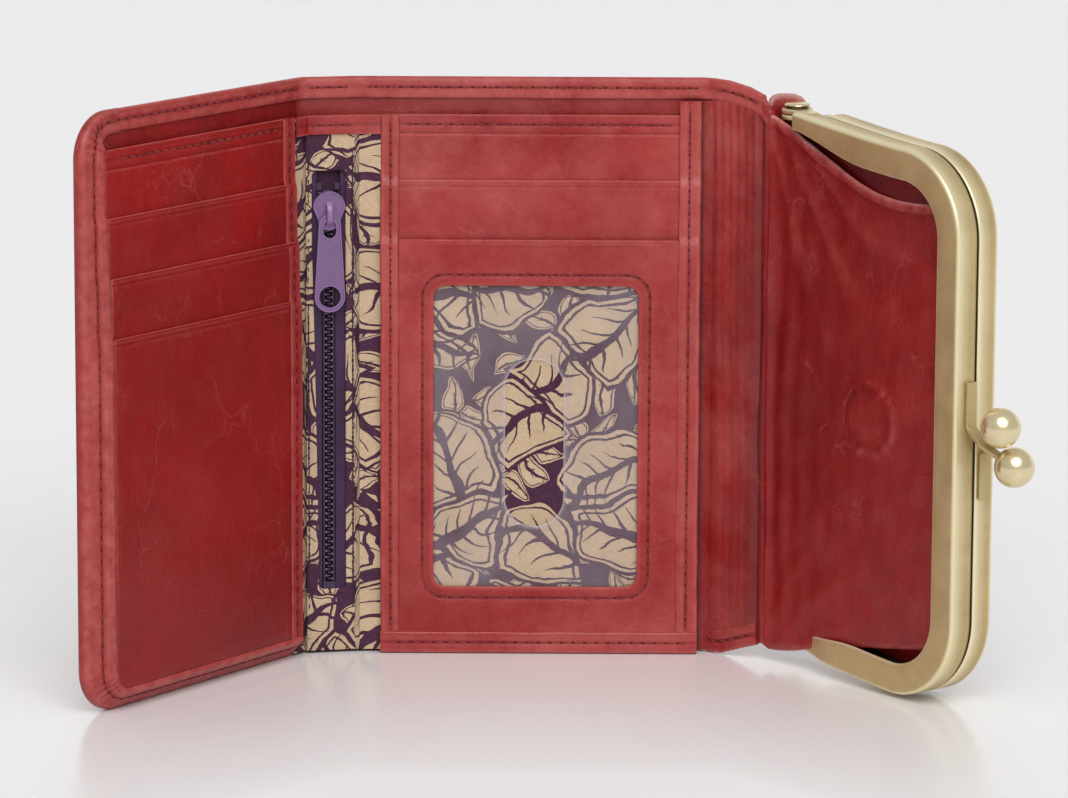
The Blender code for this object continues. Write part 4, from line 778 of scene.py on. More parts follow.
def slot_relief(top, seed, sag, left, right):
    """A card slot's face: a creased line under its turned edge, and a soft swell between its ends."""
    def relief(x, z):
        middle = np.clip((x - left) / (right - left), 0.0, 1.0)
        swollen = sag * np.sin(pi * middle) * np.exp(-np.clip(top - z, 0, 99) / 7.0)
        return swollen - 0.11 * bump(z, top - 1.15, 0.32) + 0.05 * ripple(x, z, 13.0, seed) \
            + 0.03 * ripple(x, z, 4.5, seed + 1)
    return relief


# A slot's top edge: a lighter scuffed line at the edge, a line of painted shade in the crease under it, and a faint
# lighter line below.
def slot_wear_and_shade(top):
    def wear_and_painted_light(x, z):
        return 0.35 * bump(z, top - 0.75, 0.3) - 0.35 * bump(z, top - 1.2, 0.25) + 0.2 * bump(z, top - 1.7, 0.4)
    return wear_and_painted_light


def band(name, panel, x_span, z_low, replaces, seed):
    """The band behind the first slot: a turned top edge and a stitch line under it."""
    def relief(x, z):
        return groove(z, BAND_SEAM, x) - 0.1 * bump(z, BAND_LOW, 0.3) + 0.05 * ripple(x, z, 15.0, seed)

    # Painted shade darkens the stitch line and a line just above the crease at BAND_LOW; a line below that crease
    # and one above the stitches are lighter in patches, scuffing.
    def wear_and_painted_light(x, z):
        patchy = 0.55 + 0.45 * ripple(x * 2.6, z, 12.0, seed + 2)
        return (-0.3 * bump(z, BAND_SEAM, 0.35) + 0.75 * patchy * bump(z, BAND_LOW - 0.3, 0.3)
                - 0.4 * bump(z, BAND_LOW + 0.2, 0.25) + 0.25 * patchy * bump(z, BAND_SEAM + 0.8, 0.3))
    low = LAYERS[0]
    slab(name, hide(panel), panel, x_span, (z_low, INTERIOR), low, low + LAYER, replaces, 0.25, 1.6,
         [(BAND_SEAM, 1.2, 0.3), (BAND_LOW, 0.8, 0.25)], relief, wear_and_painted_light, 1.2)
    sew(panel, np.linspace(x_span[0] + 4, x_span[1] - 4.6, 20), low + 0.4, BAND_SEAM)


def slot(name, panel, x_span, z_low, top, low, replaces, seed):
    slab(name, hide(panel), panel, x_span, (z_low, top), low, low + LAYER, replaces, 0.25, 1.6,
         [(top - 1.2, 1.2, 0.28)], slot_relief(top, seed, 0.12, *x_span), slot_wear_and_shade(top), 1.25)


def divider(name, panel, x_span, z_low, step, replaces, seed):
    slab(name, PRINT, panel, x_span, (z_low, INTERIOR - 0.6), 1.5, 1.8, replaces, 0.1, step,
         relief=lambda x, z: 0.05 * ripple(x, z, 24.0, seed))


WINDOW = np.array([-21.6, 14.2, 20.0, 76.7])
WINDOW_SEAM, WINDOW_TOP = 2.3, 86.2
OUTWARD = np.array([-1, -1, 1, 1])  # how a box's four sides move as it grows


def middle_panel():
    span = (-31.6, 31.6)
    band("band_middle", MIDDLE, span, 70.0, "top_band_middle", 3)
    slot("slot_middle", MIDDLE, span, 70.0, SLOT_TOP, LAYERS[1], "card_slot_middle_1", 5)
    divider("divider_middle", MIDDLE, (-33.0, 31.6), 0.75, 3.0, "bill_divider_middle", 2)
    slab("window_lining", PRINT, MIDDLE, span, (0.75, 86.0), 3.3, 3.5, "window_print_lining", 0.08, 2.2,
         relief=lambda x, z: 0.09 * ripple(x, z, 26.0, 7) + 0.03 * ripple(x, z, 8.0, 4))
    thumb = box_outline(-7.0, 26.8, 4.9, 61.4, 5.9, 14, 1.5)
    # The thumb slot's edge gets a pale line: a painted highlight.
    ring_slab("window_clear_film", FILM, MIDDLE, thumb, WINDOW + OUTWARD * 3.2, 3.75, 3.9,
              [0.5, 1.0, 1.6, 3.0, 5.0], "window_film", 0.07, 7,
              lambda x, z, away: 0.05 * ripple(x, z, 22.0, 3) + 0.04 * bump(away, 0.7, 0.7), 0.0,
              lambda x, z, away: 0.8 * bump(away, 0.2, 0.4))

    def relief(x, z, away):
        phase = np.where(np.abs(x + 0.8) < 18.2, x, z)
        return (groove(away, WINDOW_SEAM, phase, 0.22) + 0.06 * bump(away, 0.8, 0.7)
                - 0.12 * bump(z, WINDOW_TOP - 1.15, 0.32) + 0.06 * ripple(x, z, 17.0, 9)
                + 0.035 * ripple(x, z, 5.0, 1))

    # Painted shade darkens the stitch groove round the window and the crease under the pocket's top edge; the
    # window's edge, the top edge and a band outside the stitches are lighter.
    def wear_and_painted_light(x, z, away):
        return (-0.45 * bump(away, WINDOW_SEAM, 0.38) + 0.25 * bump(away, 3.0, 0.4) + 0.5 * bump(away, 0.35, 0.4)
                + 0.35 * bump(z, WINDOW_TOP - 0.75, 0.3) - 0.35 * bump(z, WINDOW_TOP - 1.2, 0.25))
    near = [0.6, 1.0, 1.4, 1.75, 2.05, 2.3, 2.55, 2.85, 3.3, 4.0, 5.0]
    low = LAYERS[3]
    ring_slab("window_panel", LEATHER, MIDDLE, box_outline(*WINDOW, 2.6, 8, 0.8), (-28.75, 4.6, 28.1, WINDOW_TOP),
              low, low + LAYER, near, "window_pocket_panel", 0.25, 8, relief, 0.9, wear_and_painted_light)
    points, _ = box_outline(*(WINDOW + OUTWARD * WINDOW_SEAM), 4.2, 6, 2.0)
    sew(MIDDLE, points[:, 0], 4.44, points[:, 1], cyclic=True)
    border("border_left", MIDDLE, -32.5, -28.7, -1, INTERIOR, lying, 2.1, "border_middle_left")
    border("border_right", MIDDLE, 28.0, 32.5, 1, 114.45, lying, 2.4, "border_middle_right")
    bottom_fold()


def bottom_fold():
    """The middle cover's lower edge, turned under and up over the stack."""
    face = 4.65
    h, z, rub_and_painted_light = np.array(
        [(0.9, 0.5, -0.3), (0.9, 0.05, 0.2), (1.5, 0.0, 0.3), (2.6, 0.0, 0.3), (3.6, 0.04, 0.6), (4.2, 0.2, 0.9),
         (4.55, 0.6, 0.9)] + [(face, z, 0.0) for z in spaced(1.1, 4.3, 0.36)]
        + [(face - 0.05, 4.5, 0.7), (face - 0.22, 4.67, 0.8), (face - 0.5, 4.7, -0.2), (face - 0.6, 4.4, -0.4),
           (face - 0.6, 0.8, -0.4), (3.2, 0.55, -0.4)]).T
    flat = h == face
    xs = spaced(-32.5, 32.5, 1.2)
    rows, shades = [], []
    for x in xs:
        tuck = 0.16 if x in (xs[0], xs[-1]) else 0.0
        rise = h + flat * (groove(z, EDGE_SEAM, x, 0.24) + 0.05 * ripple(x, z * 3, 11.0, 6))
        rows.append(MIDDLE.at(x, rise - tuck * (rise > 3.0), z + 0.06 * ripple(x, 0.0, 15.0, 4) * (z > 3.9)))
        # The stitch groove is painted darker, painted shade, with lighter bands beside it; the section's values
        # lighten the rounded edges and darken the tucked back, painted shade.
        shades.append(rub_and_painted_light + flat * (0.25 - 0.5 * bump(z, EDGE_SEAM, 0.4) + 0.25 * bump(z, 3.3, 0.35)))
    solid("hem_bottom", LEATHER, "middle", rows, shades, ["bottom_hem_middle"])
    sew(MIDDLE, np.linspace(xs[0] + 1.6, xs[-1] - 1.6, 30), face - 0.17, EDGE_SEAM)


# Flap
FLAP_TOP = 4.6  # how high the flap's binding lies below its slots


def flap_lying(z):
    """The border's height on the flap: the stack has one more slot."""
    return FLAP_TOP - 0.6 * ease((z - 73.2) / 2.6) - 0.6 * ease((z - 85.0) / 2.6) - 0.5 * ease((z - 96.8) / 2.6)


def binding_path():
    """Places round the flap's free side with the way inward: bottom, corner, side, upper corner."""
    def corner(z, angles):
        ways = [(cos(radians(a)), sin(radians(a))) for a in angles]
        return [((FLAP_BEND + CORNER * x, z + CORNER * up), (-x, -up)) for x, up in ways]
    path = [((x, 0.0), (0.0, 1.0)) for x in spaced(4.5, FLAP_BEND, 1.2)] + corner(CORNER, range(-84, 1, 6))
    path += [((FLAP_LENGTH, z), (-1.0, 0.0)) for z in spaced(CORNER, HEIGHT - CORNER, 1.2)[1:]]
    path += corner(HEIGHT - CORNER, range(4, 89, 4))
    return path + [((FLAP_BEND - back, HEIGHT), (0.0, -1.0)) for back in (0.8, 2.2, 3.8)]


def flap_panel():
    span = (5.4, 63.15)
    band("band_flap", FLAP, span, 60.0, "slot_backing_flap", 13)
    slot("slot_flap_1", FLAP, span, 61.7, SLOT_TOP, LAYERS[1], "card_slot_flap_1", 15)
    slot("slot_flap_2", FLAP, span, 61.7, 86.4, LAYERS[2], "card_slot_flap_2", 17)
    divider("divider_flap", FLAP, (4.5, 63.0), 3.0, 3.2, "bill_divider_flap", 8)
    top, left, right = 74.6, 8.45, 63.2
    full, x_drop = rimmed(left, right, 0.25, 1.7)
    rows, shades, flat = [], [], []
    for z, drop in zip(*rimmed(4.7, top, 0.25, 2.0, [(top - 1.2, 1.2, 0.28)])):
        over = max(CORNER - z, 0.0)
        limit = FLAP_BEND + max((CORNER - 3.9) ** 2 - over ** 2, 0.04) ** 0.5
        xs = left + (full - left) * (min(limit, right) - left) / (right - left)
        relief = slot_relief(top, 19, 0.15, 8.0, 63.0)(xs, z) + 0.1 * ripple(xs, z, 34.0, 12)
        face, shade = rounded(np.maximum(x_drop, drop), LAYERS[3], 4.55, 0.25, 1.0, relief, slot_wear_and_shade(top)(xs, z))
        rows.append(FLAP.at(xs, face, z))
        shades.append(shade)
        flat.append(np.stack([xs, np.full(len(xs), z)], axis=-1))
    shape = Shape()
    shape.grid(rows, shades, flat, back=True)
    shape.piece("pocket_flap", FLAP_LEATHER_SHADED, "flap", ["pocket_panel_flap"])
    border("border_flap_fold", FLAP, 4.5, 8.3, -1, INTERIOR, flap_lying, 2.1, "border_flap")
    binding()


def binding():
    """The cover's edge turned round the flap's rim and sewn, with small pleats at the corners."""
    path = binding_path()
    travel, before = 0.0, path[0][0]
    share = np.linspace(0.22, 0.86, 13)
    rows, shades, seam = [], [], []
    for i, ((x, z), (way_x, way_z)) in enumerate(path):
        travel += hypot(x - before[0], z - before[1])
        before = (x, z)
        width = 4.7 + 1.5 * abs(way_x)
        mid = width * 0.5
        upper = z > HEIGHT - CORNER
        turn = degrees(atan2(-way_z, -way_x)) if upper else 0.0
        high = float(flap_lying(z)) if abs(way_x) > 0.9 or upper else FLAP_TOP
        high -= (high - 1.34) * float(ease((turn - 24.0) / 34.0))
        if upper and x < FLAP_BEND:
            high -= 0.09 * (FLAP_BEND - x)
        step = min(1.75, high + 0.1)
        corner = min(abs(way_x), abs(way_z)) * 1.4
        wave = corner * sin(travel * 3.3)
        under = max(1.55 + (high - 1.55) * 0.62, 1.2) - 0.75
        reach = width * share
        rise = (step + (high - step) * ease((share - 0.05) / 0.8) + groove(reach, mid, travel, 0.26)
                + (0.18 if upper else 0.3) * wave * np.sin(pi * share) + 0.12 * bump(reach, width * 0.8, 0.5)
                + 0.05 * ripple(reach * 2, travel, 7.0, 3))
        # The binding is lighter overall, scuffing; its stitch groove is painted darker, the pleats' crests lighter
        # and their hollows darker, and the underside darker: painted highlight and painted shade.
        rub_and_painted_light = (0.62 - 0.6 * bump(reach, mid, 0.4) + 0.2 * bump(reach, mid + 0.9, 0.4)
               + 0.3 * bump(reach, width * 0.82, 0.4) + 0.5 * wave)
        inward, h, shade = np.array(
            [(0.55, -0.66, 0.0), (0.16, -0.5, 0.1), (0.0, -0.05, 0.2), (0.02, 0.7, 0.4), (0.2, step * 0.71, 0.7),
             (0.7, step, 0.8)] + list(zip(reach, rise, rub_and_painted_light))
            + [(width * 0.93, high + 0.02, 0.7), (width - 0.12, high - 0.1, 0.8), (width, high - 0.35, 0.2),
               (width - 0.1, high - 0.58, -0.5), (mid, min(under, high - 0.6), -0.5),
               (1.1, min(0.95, high - 0.6), -0.5), (0.9, 0.2, -0.5)]).T
        tuck = 0.25 if i in (0, len(path) - 1) else 0.0
        rows.append(FLAP.at(x + way_x * inward, h - tuck * (h > 1.0), z + way_z * inward))
        shades.append(shade)
        base = step + (high - step) * float(ease((0.5 - 0.05) / 0.8))
        seam.append((x + way_x * mid, base - 0.17, z + way_z * mid))
    solid("binding", FLAP_LEATHER_SHADED, "flap", rows, shades, ["binding_flap"])
    sew(FLAP, *np.array(seam[1:-1]).T)


# Left spine: printed lining with the zip
ZIP = 6.24
ZIP_SLOT_LOW, ZIP_SLOT_HIGH = 13.5, 100.2
SLIDER_TOP, SLIDER_LENGTH = 95.8, 7.6


def spine_lining():
    hole = box_outline(ZIP - 3.45, ZIP_SLOT_LOW, ZIP + 3.45, ZIP_SLOT_HIGH, 1.15, 5, 1.3)
    lap = np.clip((84.0 - hole[0][:, 1]) / 62.0, 0.0, 1.0) * (hole[0][:, 0] > ZIP)
    hole[0][:, 0] -= 1.25 * lap ** 0.8

    def relief(x, z, away):
        return (0.1 * bump(away, 0.7, 0.6) - 0.14 * bump(away, 1.45, 0.4) * (0.7 + 0.3 * np.cos(z * 3.6))
                + 0.07 * ripple(x * 2, z, 12.0, 4))
    # The stitched groove round the zip's slot is painted darker: painted shade.
    ring_slab("spine_print", PRINT, SPINE, hole, (0.9, 0.6, 10.9, INTERIOR - 0.5), 2.6, 3.0,
              [0.4, 0.7, 1.0, 1.3, 1.6, 1.9, 2.2], "zip_panel", 0.16, 3, relief, 0.0,
              lambda x, z, away: -0.5 * bump(away, 1.45, 0.35))
    slab("zip_pocket_cloth", PLUM, SPINE, (0.9, 10.9), (0.6, INTERIOR - 1.2), 0.85, 1.1, "zip_pocket_lining",
         0.08, 2.5)
    for x in (ZIP - 4.9, ZIP + 4.2):
        sew(SPINE, x, 2.93, np.linspace(9.0, 105.0, 30), lining=True, width=0.3, length=1.3, pitch=2.0)
    # The band's stitch groove is painted darker: painted shade.
    slab("band_spine", LEATHER, SPINE, (1.0, 10.8), (BAND_LOW, INTERIOR), 3.0, 3.0 + LAYER, "spine_top_band",
         0.22, 0.9, [(BAND_SEAM, 1.0, 0.3)], lambda x, z: groove(z, BAND_SEAM, x),
         lambda x, z: -0.4 * bump(z, BAND_SEAM, 0.35))
    sew(SPINE, np.linspace(1.2, 10.6, 6), 3.38, BAND_SEAM)

    middle, inner = add_fold(SPINE, FLAP, (10.6, 1.3), 6)
    far = [FLAP.end(x) for x in (2.2, 3.4, 4.7)]
    spine_folds("flap", np.vstack([middle, far]), np.vstack([inner, [FLAP.inner] * 3]),
                fold_bodies(SPINE, FLAP, middle[0], middle[-1]), 5, 0.9, 11.0)
    middle, inner = add_fold(MIDDLE, SPINE, (LEFT_FOLD + 0.7, 1.2), 6)
    far = [MIDDLE.end(x) for x in (-32.4, -34.0, -35.6)]
    spine_folds("middle", np.vstack([far, middle]), np.vstack([[MIDDLE.inner] * 3, inner]),
                fold_bodies(MIDDLE, SPINE, middle[0], middle[-1]), 6, 0.0, -8.0)


def spine_folds(name, middle, inner, bodies, seed, sink, print_start):
    """The lining and the top band across one of the left spine's folds."""
    for kind, low, high, face, thick, step in (("print", 0.6, INTERIOR - 0.5, 2.96, 0.3, 2.4),
                                               ("band", BAND_LOW, INTERIOR, 3.52, 0.5, 0.5)):
        zs = spaced(low, high, step)
        rows, shades, flat = [], [], []
        for i, (place, way) in enumerate(zip(middle, inner)):
            if kind == "print":
                front = face + 0.06 * ripple(zs, i * 2.0, 14.0, seed) - sink * ease(i / 5.0)
                shade = np.zeros(len(zs))
            else:
                front = face + groove(zs, BAND_SEAM, i)
                # The band's stitch groove is painted darker, painted shade, and its upper and lower edges lighter.
                shade = -0.4 * bump(zs, BAND_SEAM, 0.35) + 0.8 * bump(zs, low, 0.4) + 0.8 * bump(zs, high, 0.3)
            rows.append(bent(place, way, there_and_back(front, thick), there_and_back(zs)))
            # The back faces are painted darker: painted shade.
            shades.append(there_and_back(shade, 0.4))
            flat.append([(0.9 * i + print_start, z) for z in there_and_back(zs)])
        solid("%s_fold_%s" % (kind, name), PRINT if kind == "print" else LEATHER, bodies, rows, shades, uv=flat)


def chain_gap(z):
    """How far each row of teeth stands off the zip's middle, where the rows part in the slider."""
    return 1.1 * ease((z - (SLIDER_TOP - SLIDER_LENGTH + 2.28)) / 3.0)


COIL_LEVEL = 2.4


def zip_rows():
    dots = Shape()
    turn = spin(6)
    for side, name in ((-1, "right"), (1, "left")):
        shape = Shape()
        z = 15.6 + (ZIP_PITCH / 2 if side > 0 else 0.0)
        while z < SLIDER_TOP:
            start = ZIP + side * chain_gap(z)
            shape.loft([SPINE.at(start + side * reach, COIL_LEVEL + thick * np.sin(turn), z + tall * np.cos(turn))
                        for reach, tall, thick in ((-0.4, 0.16, 0.25), (-0.3, 0.29, 0.42), (0.0, 0.28, 0.5),
                                                   (0.5, 0.24, 0.44), (1.0, 0.24, 0.42), (1.25, 0.1, 0.14))])
            dots.loft([SPINE.at(start + side * reach, 2.78 + 0.2 * size * np.sin(turn),
                                z + 0.24 * size * np.cos(turn))
                       for reach, size in ((0.42, 0.3), (0.5, 1.0), (0.75, 1.0), (0.83, 0.3))])
            z += ZIP_PITCH
        shape.loft([SPINE.at(ZIP + side * (chain_gap(z) + 1.0 + 0.25 * np.cos(turn)),
                             COIL_LEVEL + 0.3 * np.sin(turn), z)
                    for z in spaced(15.0, SLIDER_TOP + 0.1, 2.4, [(91.5, 4.0, 0.5)])])
        shape.piece("coil_" + name, COIL, "spine_left", ["zip_teeth_" + name])

        z = spaced(12.0, 101.7, 1.0)[:, None]
        near, far = ZIP + side * (1.4 + chain_gap(z)), ZIP + side * 4.65
        share = np.linspace(0.0, 1.0, 6)
        x = near + (far - near) * share
        z = z + 0.0 * x
        face = 2.45 + 0.03 * np.cos(z * 5.2) * (share > 0.1)
        shape = Shape()
        for level in (face, face - 0.22):
            shape.grid(SPINE.at(x, level, z), 0.0, np.stack([x, z], axis=-1))
        shape.piece("tape_" + name, TAPE, "spine_left", ["zip_tape_" + name])
    dots.piece("coil_stitches", DOTS, "spine_left")


def ring_of(outline, height, size):
    """A thin raised rim along a closed outline of (x, z) places on the left spine."""
    ahead = np.roll(outline, -1, axis=0) - np.roll(outline, 1, axis=0)
    ahead /= np.linalg.norm(ahead, axis=1)[:, None]
    rows = [SPINE.at(ZIP + outline[:, 0] + ahead[:, 1] * size * cos(turn), height + size * sin(turn),
                     outline[:, 1] - ahead[:, 0] * size * cos(turn)) for turn in spin(6)]
    return np.stack(rows, axis=1)


def plate(shape, outlines, low, high, rim):
    """A flat plate with holes and a raised rim round its edge and each hole."""
    curve = bpy.data.curves.new("plate", "CURVE")
    curve.dimensions = "2D"
    curve.fill_mode = "BOTH"
    for outline in outlines:
        spline = curve.splines.new("POLY")
        spline.points.add(len(outline) - 1)
        for point, (x, z) in zip(spline.points, outline):
            point.co = (x, z, 0.0, 1.0)
        spline.use_cyclic_u = True
    curve.extrude = (high - low) / 2
    holder = bpy.data.objects.new("plate", curve)
    bpy.context.scene.collection.objects.link(holder)
    bpy.context.view_layer.update()
    mesh = bpy.data.meshes.new_from_object(holder.evaluated_get(bpy.context.evaluated_depsgraph_get()))
    bpy.data.objects.remove(holder)
    points = np.array([vertex.co[:] for vertex in mesh.vertices])
    first = shape.add(SPINE.at(ZIP + points[:, 0], (low + high) / 2 + points[:, 2], points[:, 1]))
    shape.faces += [[first + index for index in face.vertices] for face in mesh.polygons]
    bpy.data.meshes.remove(mesh)
    for outline in outlines:
        rows = ring_of(np.array(outline), high, rim)
        # The rims are painted lighter.
        shape.grid(np.concatenate([rows, rows[:1]]), 0.35, around=True)


def pod(top, low, wide, narrow, count):
    """A closed outline with a round upper end of radius wide and a lower one of radius narrow."""
    points = []
    for centre, radius, start in ((top - wide, wide, 0.0), (low + narrow, narrow, pi)):
        for turn in np.linspace(start, start + pi, count + 1):
            points.append((radius * cos(turn), centre + radius * sin(turn)))
    return points


def zip_slider():
    """The slider's two plates, its post and bridge, and the long pull with its keyhole and round eye."""
    head = pod(SLIDER_TOP, SLIDER_TOP - SLIDER_LENGTH, 3.15, 2.2, 14)
    shape = Shape()
    plate(shape, [head], 3.15, 3.55, 0.2)
    plate(shape, [head], 1.2, 1.6, 0.1)
    turn = spin(12)
    shape.loft([SPINE.at(ZIP + 0.45 * np.cos(turn), h, SLIDER_TOP - 1.6 + 1.1 * np.sin(turn)) for h in (1.5, 3.2)])
    rows = []
    for share in np.linspace(0.0, 1.0, 9):
        middle = 3.62 + 1.18 * abs(sin(pi * share)) ** 0.55
        tilt = (share - 0.5) * 1.5
        rows.append(SPINE.at(ZIP + 0.62 * np.cos(turn), middle + 0.26 * np.sin(turn) * cos(tilt),
                             SLIDER_TOP - 1.9 - 5.0 * share + 0.26 * np.sin(turn) * sin(tilt)))
    # The bridge is painted lighter all over: a painted highlight along its ridge.
    shape.loft(rows, 0.45)
    shape.piece("slider", ENAMEL, "zip_slider", ["zip_slider"], 40.0)
    shape = Shape()
    eye = [(2.35 * cos(turn), 74.4 + 2.35 * sin(turn)) for turn in spin(30)]
    plate(shape, [pod(91.3, 71.4, 2.1, 3.0, 14), pod(90.2, 86.3, 1.45, 1.45, 10), eye], 3.7, 4.15, 0.18)
    shape.piece("pull", ENAMEL, "zip_pull", ["zip_pull_tab"], 40.0)


# Right spine and coin pouch
FRAME_TOP, FRAME_LOW = 110.6, 0.9
TOP_RISE, LOW_RISE = 3.4, 3.6
REACH, FRAME_CORNER = 57.0, 17.0
FRAME_BEND = REACH - FRAME_CORNER
FACE, WALL, DEPTH = 6.3, 0.7, 5.2
TOP_EDGE = (-1.46153e-07, 1.4853e-05, -3.2418e-04, 3.0625e-04, -0.400031, 113.037)


def edge_top(u):
    """The front leather's upper edge, which sags from the crease towards the frame."""
    return np.polyval(TOP_EDGE, u)


def edge_bottom(u):
    dip = 1.25 * np.exp(-((u - 6.0) / 10.0) ** 2)
    return 3.5 + 8.0 * np.clip((u - 1.5) / 49.2, 0.0, 1.0) - dip + 1.3 * ease((1.4 - u) / 2.0)


def arm_inset(u, inward, rise):
    """How far a line inside the frame's outer edge lies from the frame's straight height."""
    if u <= FRAME_BEND:
        return inward - rise * ((FRAME_BEND - u) / (FRAME_BEND - 8.0)) ** 1.2
    return FRAME_CORNER - max((FRAME_CORNER - inward) ** 2 - (u - FRAME_BEND) ** 2, 0.0) ** 0.5


def joggle(u):
    return 1.2 * (1.0 - float(ease((u - 8.0) / 5.0)))


def arm_face(u):
    return 3.4 + (FACE - 3.4) * float(ease((u - 7.0) / 22.0))


def back_top(u, inward=1.6):
    return FRAME_TOP - arm_inset(u, inward + joggle(u), TOP_RISE)


def back_bottom(u, inward=1.6):
    return FRAME_LOW + arm_inset(u, inward + joggle(u), -LOW_RISE)


def swell(u, up):
    across = np.clip((u - 8.0) / 42.7, 0.0, 1.0)
    return np.sin(pi * across) * np.sin(pi * np.clip(up, 0.0, 1.0))


# The right hem's foot: z above the edge, h from 1.3, and a shading value: scuffed edges lighter, the stitch groove
# painted darker, painted shade
FOOT_Z = np.array([0.06, 0.02, 0.3, 0.9, 1.5, 1.9, 2.2, 2.45, 2.7, 3.0, 3.6, 4.3, 4.6, 4.72])
FOOT_H = np.array([-0.6, -0.2, -0.04, 0, 0, -0.06, -0.16, -0.22, -0.16, -0.06, 0, 0, -0.06, -0.3])
FOOT_WEAR_AND_SHADE = np.array([0.5, 0.9, 0.6, 0, 0, 0, -0.3, -0.5, -0.3, 0.2, 0.1, 0, 0.7, 0.7])


def right_spine():
    """The inner leather from the middle's border over both folds, under the turned hems."""
    for kind, thick, replaces in (("sheet", 0.5, ["spine_inner_right"]), ("foot", 0.65, [])):
        rows, shades = [], []
        for x in spaced(1.3, 13.5, 0.55):
            low, high = right_low(x), right_high(x)
            if kind == "sheet":
                zs = np.linspace(low + 4.5, high - 4.2, 60)
                fold = (np.sin(x * 3.3 + 0.9 * np.sin(zs * 0.11) + 0.05 * zs)
                        * (0.35 + 0.65 * ease((zs - 78.0) / 30.0)))
                front = (1.24 + 0.14 * ripple(zs, x * 2.2, 30.0, 4) + 0.1 * fold - 0.5 * ease((x - 12.0) / 1.5)
                         - 0.1 * ease((2.4 - x) / 1.0))
                # Painted light on the sheet: highlights on the crests of its fine folds and a lighter band near x =
                # 5, painted shade towards the pouch's fold and over the whole sheet, and random tone.
                wear_and_painted_light = (0.1 * ripple(zs, x * 4, 22.0, 7) + 0.4 * np.maximum(fold, 0.0) ** 3
                        - 0.3 * ease((x - 9.0) / 4.5) + 0.2 * bump(x, 5.0, 3.0) - 0.24)
            else:
                zs, front, wear_and_painted_light = low + FOOT_Z, 1.3 + FOOT_H, FOOT_WEAR_AND_SHADE
            rows.append(RIGHT.at(x, there_and_back(front, thick), there_and_back(zs)))
            # The back faces are painted darker: painted shade.
            shades.append(there_and_back(wear_and_painted_light, 0.4))
        solid("spine_right_" + kind, LEATHER, "spine_right", rows, shades, replaces)
    xs = np.linspace(1.6, 13.4, 6)
    sew(RIGHT, xs, HEM_FACE, [right_low(x) + EDGE_SEAM for x in xs])
    middle, inner = add_fold(MIDDLE, RIGHT, (RIGHT_FOLD - 1.9, 1.6), 6)
    zs = np.linspace(0.4, 114.4, 44)
    rows = [bent(place, way, there_and_back(1.3 + 0.06 * ripple(zs, i, 16.0, 3), 0.5), there_and_back(zs))
            for i, (place, way) in enumerate(zip(middle, inner))]
    # Painted shadow along the wall of the middle's right border, fading across the fold.
    shade = np.array([-1.0, -0.62, -0.3, -0.16, -0.1, -0.06, -0.04])[:, None]
    solid("inner_fold_right", LEATHER, fold_bodies(MIDDLE, RIGHT, middle[0], middle[-1]), rows, shade)


def pouch_depth(u, up):
    """The front leather's mid depth, with the soft folds that start at the crease and the corners."""
    free = np.sin(pi * np.clip(up, 0, 1)) ** 0.5
    fade = np.exp(-np.clip(u - 2.0, 0, 99) / 13.0)
    folds = 0.42 * np.sin(u * 1.15 + 1.4 * np.sin(up * 5.0) + 0.6) * fade * free
    slack = 0.24 * ripple(u, up * 70.0, 26.0, 6) * free
    fine = 0.08 * ripple(u, up * 95.0, 8.0, 9)
    disc = disc_reach(u, up)
    imprint = -0.3 * ease((7.9 - disc) / 0.8) + 0.16 * ease((6.2 - disc) / 1.2)
    tuck = 1.1 * (1.0 - ease((u + 0.8) / 3.2))
    return 1.8 - 0.5 * swell(u, up) - folds * 0.6 - slack - fine + imprint - 0.16 * fan_folds(u, up) - tuck


def disc_reach(u, up):
    """The distance from the hidden magnet's middle, with its pinked edge."""
    across, rise = u - 31.4, up * 96.0 - 48.4
    return np.hypot(across, rise) + 0.22 * np.sin(np.arctan2(rise, across) * 26.0)


def fan_folds(u, up):
    """Soft folds that run out from the crease's upper and lower ends."""
    total = 0.0
    for centre, sign, seed, strength in ((1.06, -1.0, 0.0, 1.0), (-0.06, 1.0, 2.0, 0.6)):
        rise = (up - centre) * 104.0 * sign
        reach = np.hypot(u + 5.0, rise)
        turn = np.arctan2(rise, u + 5.0)
        fade = np.exp(-((reach - 26.0) / 24.0) ** 2) * strength
        total = total + np.sin(turn * 19.0 + 0.6 * np.sin(reach * 0.14 + seed) + seed) * fade
    return total


